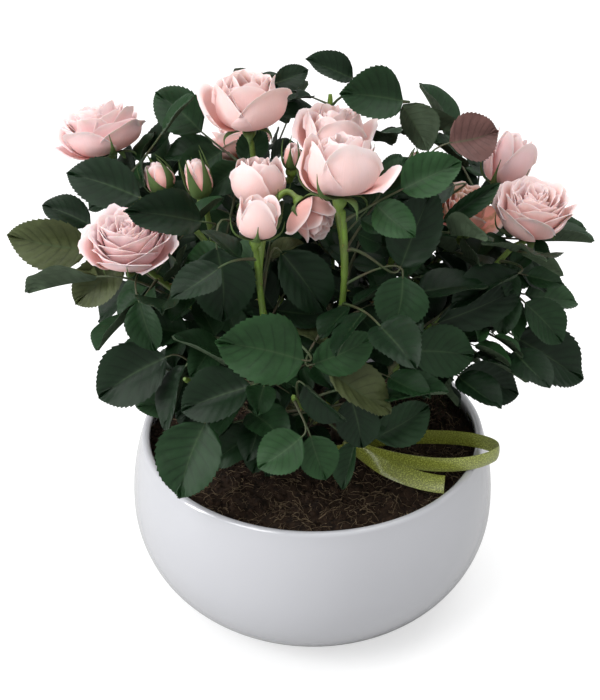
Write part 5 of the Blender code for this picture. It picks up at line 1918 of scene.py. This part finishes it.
class ROSEBUSH_OT_calyxes(bpy.types.Operator):
    """Sets five sepals under each rose and round each bud"""

    bl_idname = "rose_bush.calyxes"
    bl_label = "Calyxes"

    def execute(self, context):
        own = settings().blooms
        heap = Heap()
        for flower in plant().flowers:
            chance = random.Random(f"{SEED} sepals {flower.name}")
            start = chance.uniform(0, 360)
            for k in range(5):
                turn = math.radians(start + 72 * k + chance.uniform(-10, 10))
                side = Quaternion(flower.axis, turn) @ across(flower.axis, FRONT)
                path, wide = self.path(flower, chance)
                heap.add(*sepal(flower.base, flower.axis, side, path, wide))
        material = leaf_finish("sepal", own.sepal, own.sepal, 0.55)
        put("calyxes", heap.mesh("calyxes", [material]), "foliage", *["rose_" + name for name in ROSES])
        return {"FINISHED"}

    def path(self, flower, chance):
        """The sepal's curve: round a bud, up a closed rose's outer petals, or hanging below it."""
        foot = (flower.hip_radius * 0.62, -0.5)
        if flower.bud_radius:
            r, long = flower.bud_radius, flower.size
            shut = long < 12
            flare = 0.0 if shut else chance.uniform(0.0, 0.8) ** 2
            tip = (r * (0.15 if shut else 0.55 + flare), long * chance.uniform(0.95, 1.25))
            return (foot, (r * 1.35, long * 0.12), (r * 1.18, long * 0.62), tip), r * (1.5 if shut else 0.85)
        radius, height, openness = ROSES[flower.name][4:]
        if openness < 0.5 or chance.random() < 0.35:
            top = height * chance.uniform(0.34, 0.52)
            low, high = (radius * 0.70, -0.6), (radius * 1.04, height * 0.06)
            return (foot, low, high, (radius * 0.98 + 1, top)), 4.6
        long = chance.uniform(0.42, 0.70) * radius
        down = chance.uniform(0.25, 0.95) * long
        reach = flower.hip_radius + long * 0.9
        return (foot, (reach * 0.8, 0.2), (reach, -down * 0.3), (reach * 0.88, -down)), 4.2


class BudPetals(Bloom):
    """The wrapped petals of a bud."""

    def measure(self, flower):
        self.radius, self.height, self.flat, self.loose = flower.bud_radius, flower.size, 0.0, 0.0
        self.petals, self.roll, self.wave, self.flush, self.spin = 9, 20, 0.3, 0.42, 40

    def profile(self, q):
        r, z = self.radius * (1 - 0.35 * q), self.height * (0.90 + 0.10 * q)
        return (r * 0.25, 0), (r * 1.30, z * 0.10), (r * 1.12, z * 0.68), (r * 0.30, z)


class ROSEBUSH_OT_blooms(bpy.types.Operator):
    """Opens the roses and the buds, petal by petal"""

    bl_idname = "rose_bush.blooms"
    bl_label = "Blooms"

    def execute(self, context):
        own = settings().blooms
        finishes = {
            "petal": petal_finish("petal", own.pale, own.deep, own.rim),
            "petal_cool": petal_finish("petal_cool", own.cool, own.deep, own.rim),
            "petal_faded": petal_finish("petal_faded", own.faded, own.deep, own.rim, own.stain),
        }
        order = list(finishes)
        groups = {"left": [], "middle": [], "right": []}
        for name in ROSES:
            flower = next(f for f in plant().flowers if f.name == name)
            side = "left" if flower.base.x < -40 else "right" if flower.base.x > 40 else "middle"
            groups[side].append(flower)
        for group, flowers in groups.items():
            heap = Heap()
            for flower in flowers:
                Bloom(flower, own).add_to(heap, order.index(BLOOM_LOOKS[flower.name][-1]))
            mesh = heap.mesh("roses_" + group, finishes.values())
            put("roses_" + group, mesh, "petal", *["rose_" + flower.name for flower in flowers])
        heap = Heap()
        for flower in plant().flowers:
            if flower.bud_radius:
                BudPetals(flower, own).add_to(heap, 0)
        put("buds", heap.mesh("buds", [finishes["petal"]]), "petal")
        return {"FINISHED"}


# --- stage ------------------------------------------------------------------


class ROSEBUSH_OT_stage(bpy.types.Operator):
    """Lays the pale floor, hangs the studio lights and sets up the camera"""

    bl_idname = "rose_bush.stage"
    bl_label = "Stage"

    FLOOR_GLOW = 0.55  # lifts the floor in the camera's view alone
    SKY_POWER = 0.75

    def execute(self, context):
        own = settings().stage
        scene = bpy.context.scene
        mesh = bpy.data.meshes.new("floor")
        reach, sag = 6.0, -0.0006
        corners = [(-reach, -reach, sag), (reach, -reach, sag), (reach, reach, sag), (-reach, reach, sag)]
        mesh.from_pydata(corners, [], [(0, 1, 2, 3)])
        material, tree = finish("floor", own.floor, Roughness=0.7)
        seen = add(tree, "ShaderNodeLightPath").outputs["Is Camera Ray"]
        lift = mix(tree, seen, (0, 0, 0), (1, 1, 1))
        shader = tree.nodes["Principled BSDF"]
        tree.links.new(lift, shader.inputs["Emission Color"])
        shader.inputs["Emission Strength"].default_value = self.FLOOR_GLOW
        mesh.materials.append(material)
        floor = bpy.data.objects.new("floor", mesh)
        scene.collection.objects.link(floor)
        floor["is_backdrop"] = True
        world = bpy.data.worlds.new("studio")
        world.use_nodes = True
        back = world.node_tree.nodes["Background"]
        back.inputs["Color"].default_value = (*own.sky, 1)
        back.inputs["Strength"].default_value = self.SKY_POWER
        scene.world = world
        aim = Vector(own.aim)
        self.lamp("key", Vector((-0.9, -0.9, 1.5)), aim, (0.7, 0.9), 12.0)
        self.lamp("side", Vector((-1.2, -0.35, 0.50)), aim, (0.25, 1.1), 9.0)
        self.lamp("top", Vector((0.2, 0.5, 2.2)), aim, (2.2, 2.2), 34.0)
        eye = bpy.data.cameras.new("camera")
        eye.lens = own.lens
        camera = bpy.data.objects.new("camera", eye)
        scene.collection.objects.link(camera)
        back_off = Vector((0, -math.cos(own.elevation), math.sin(own.elevation)))
        camera.location = aim + back_off * own.distance
        camera.rotation_euler = (-back_off).to_track_quat("-Z", "Y").to_euler()
        scene.camera = camera
        scene.view_settings.view_transform = "Standard"
        return {"FINISHED"}

    def lamp(self, name, place, aim, size, power):
        light = bpy.data.lights.new(name, "AREA")
        light.shape = "RECTANGLE"
        light.size, light.size_y = size
        light.energy = power
        obj = bpy.data.objects.new(name, light)
        bpy.context.scene.collection.objects.link(obj)
        obj.location = place
        obj.rotation_euler = (aim - place).to_track_quat("-Z", "Y").to_euler()


# --- panel and registration -------------------------------------------------

OPERATORS = (
    ROSEBUSH_OT_bowl,
    ROSEBUSH_OT_peat,
    ROSEBUSH_OT_litter,
    ROSEBUSH_OT_ribbon,
    ROSEBUSH_OT_stocks,
    ROSEBUSH_OT_canes,
    ROSEBUSH_OT_stems,
    ROSEBUSH_OT_prickles,
    ROSEBUSH_OT_leaves,
    ROSEBUSH_OT_calyxes,
    ROSEBUSH_OT_blooms,
    ROSEBUSH_OT_stage,
)


class ROSEBUSH_PT_panel(bpy.types.Panel):
    """Sizes, colours and makers of the rose bush"""

    bl_label = "Rose Bush"
    bl_idname = "ROSEBUSH_PT_panel"
    bl_space_type = "VIEW_3D"
    bl_region_type = "UI"
    bl_category = "Rose Bush"

    def draw(self, context):
        bush = context.scene.rose_bush
        for operator in OPERATORS:
            self.layout.operator(operator.bl_idname)
        for group in ("bowl", "peat", "ribbon", "limbs", "leaves", "blooms", "stage"):
            box = self.layout.box()
            box.label(text=group.title())
            own = getattr(bush, group)
            for name in type(own).__annotations__:
                box.prop(own, name)


SETTINGS = (
    BowlSettings,
    PeatSettings,
    RibbonSettings,
    LimbSettings,
    LeafSettings,
    BloomSettings,
    StageSettings,
    BushSettings,
)


def register():
    for cls in (*SETTINGS, *OPERATORS, ROSEBUSH_PT_panel):
        bpy.utils.register_class(cls)
    bpy.types.Scene.rose_bush = PointerProperty(type=BushSettings)


def unregister():
    del bpy.types.Scene.rose_bush
    for cls in reversed((*SETTINGS, *OPERATORS, ROSEBUSH_PT_panel)):
        bpy.utils.unregister_class(cls)


def main():
    register()
    for operator in OPERATORS:
        group, name = operator.bl_idname.split(".")
        getattr(getattr(bpy.ops, group), name)()
    for name, box in (("cad", CAD_BOX), ("visual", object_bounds())):
        [list(corner) for corner in box]


if __name__ == "__main__":
    main()
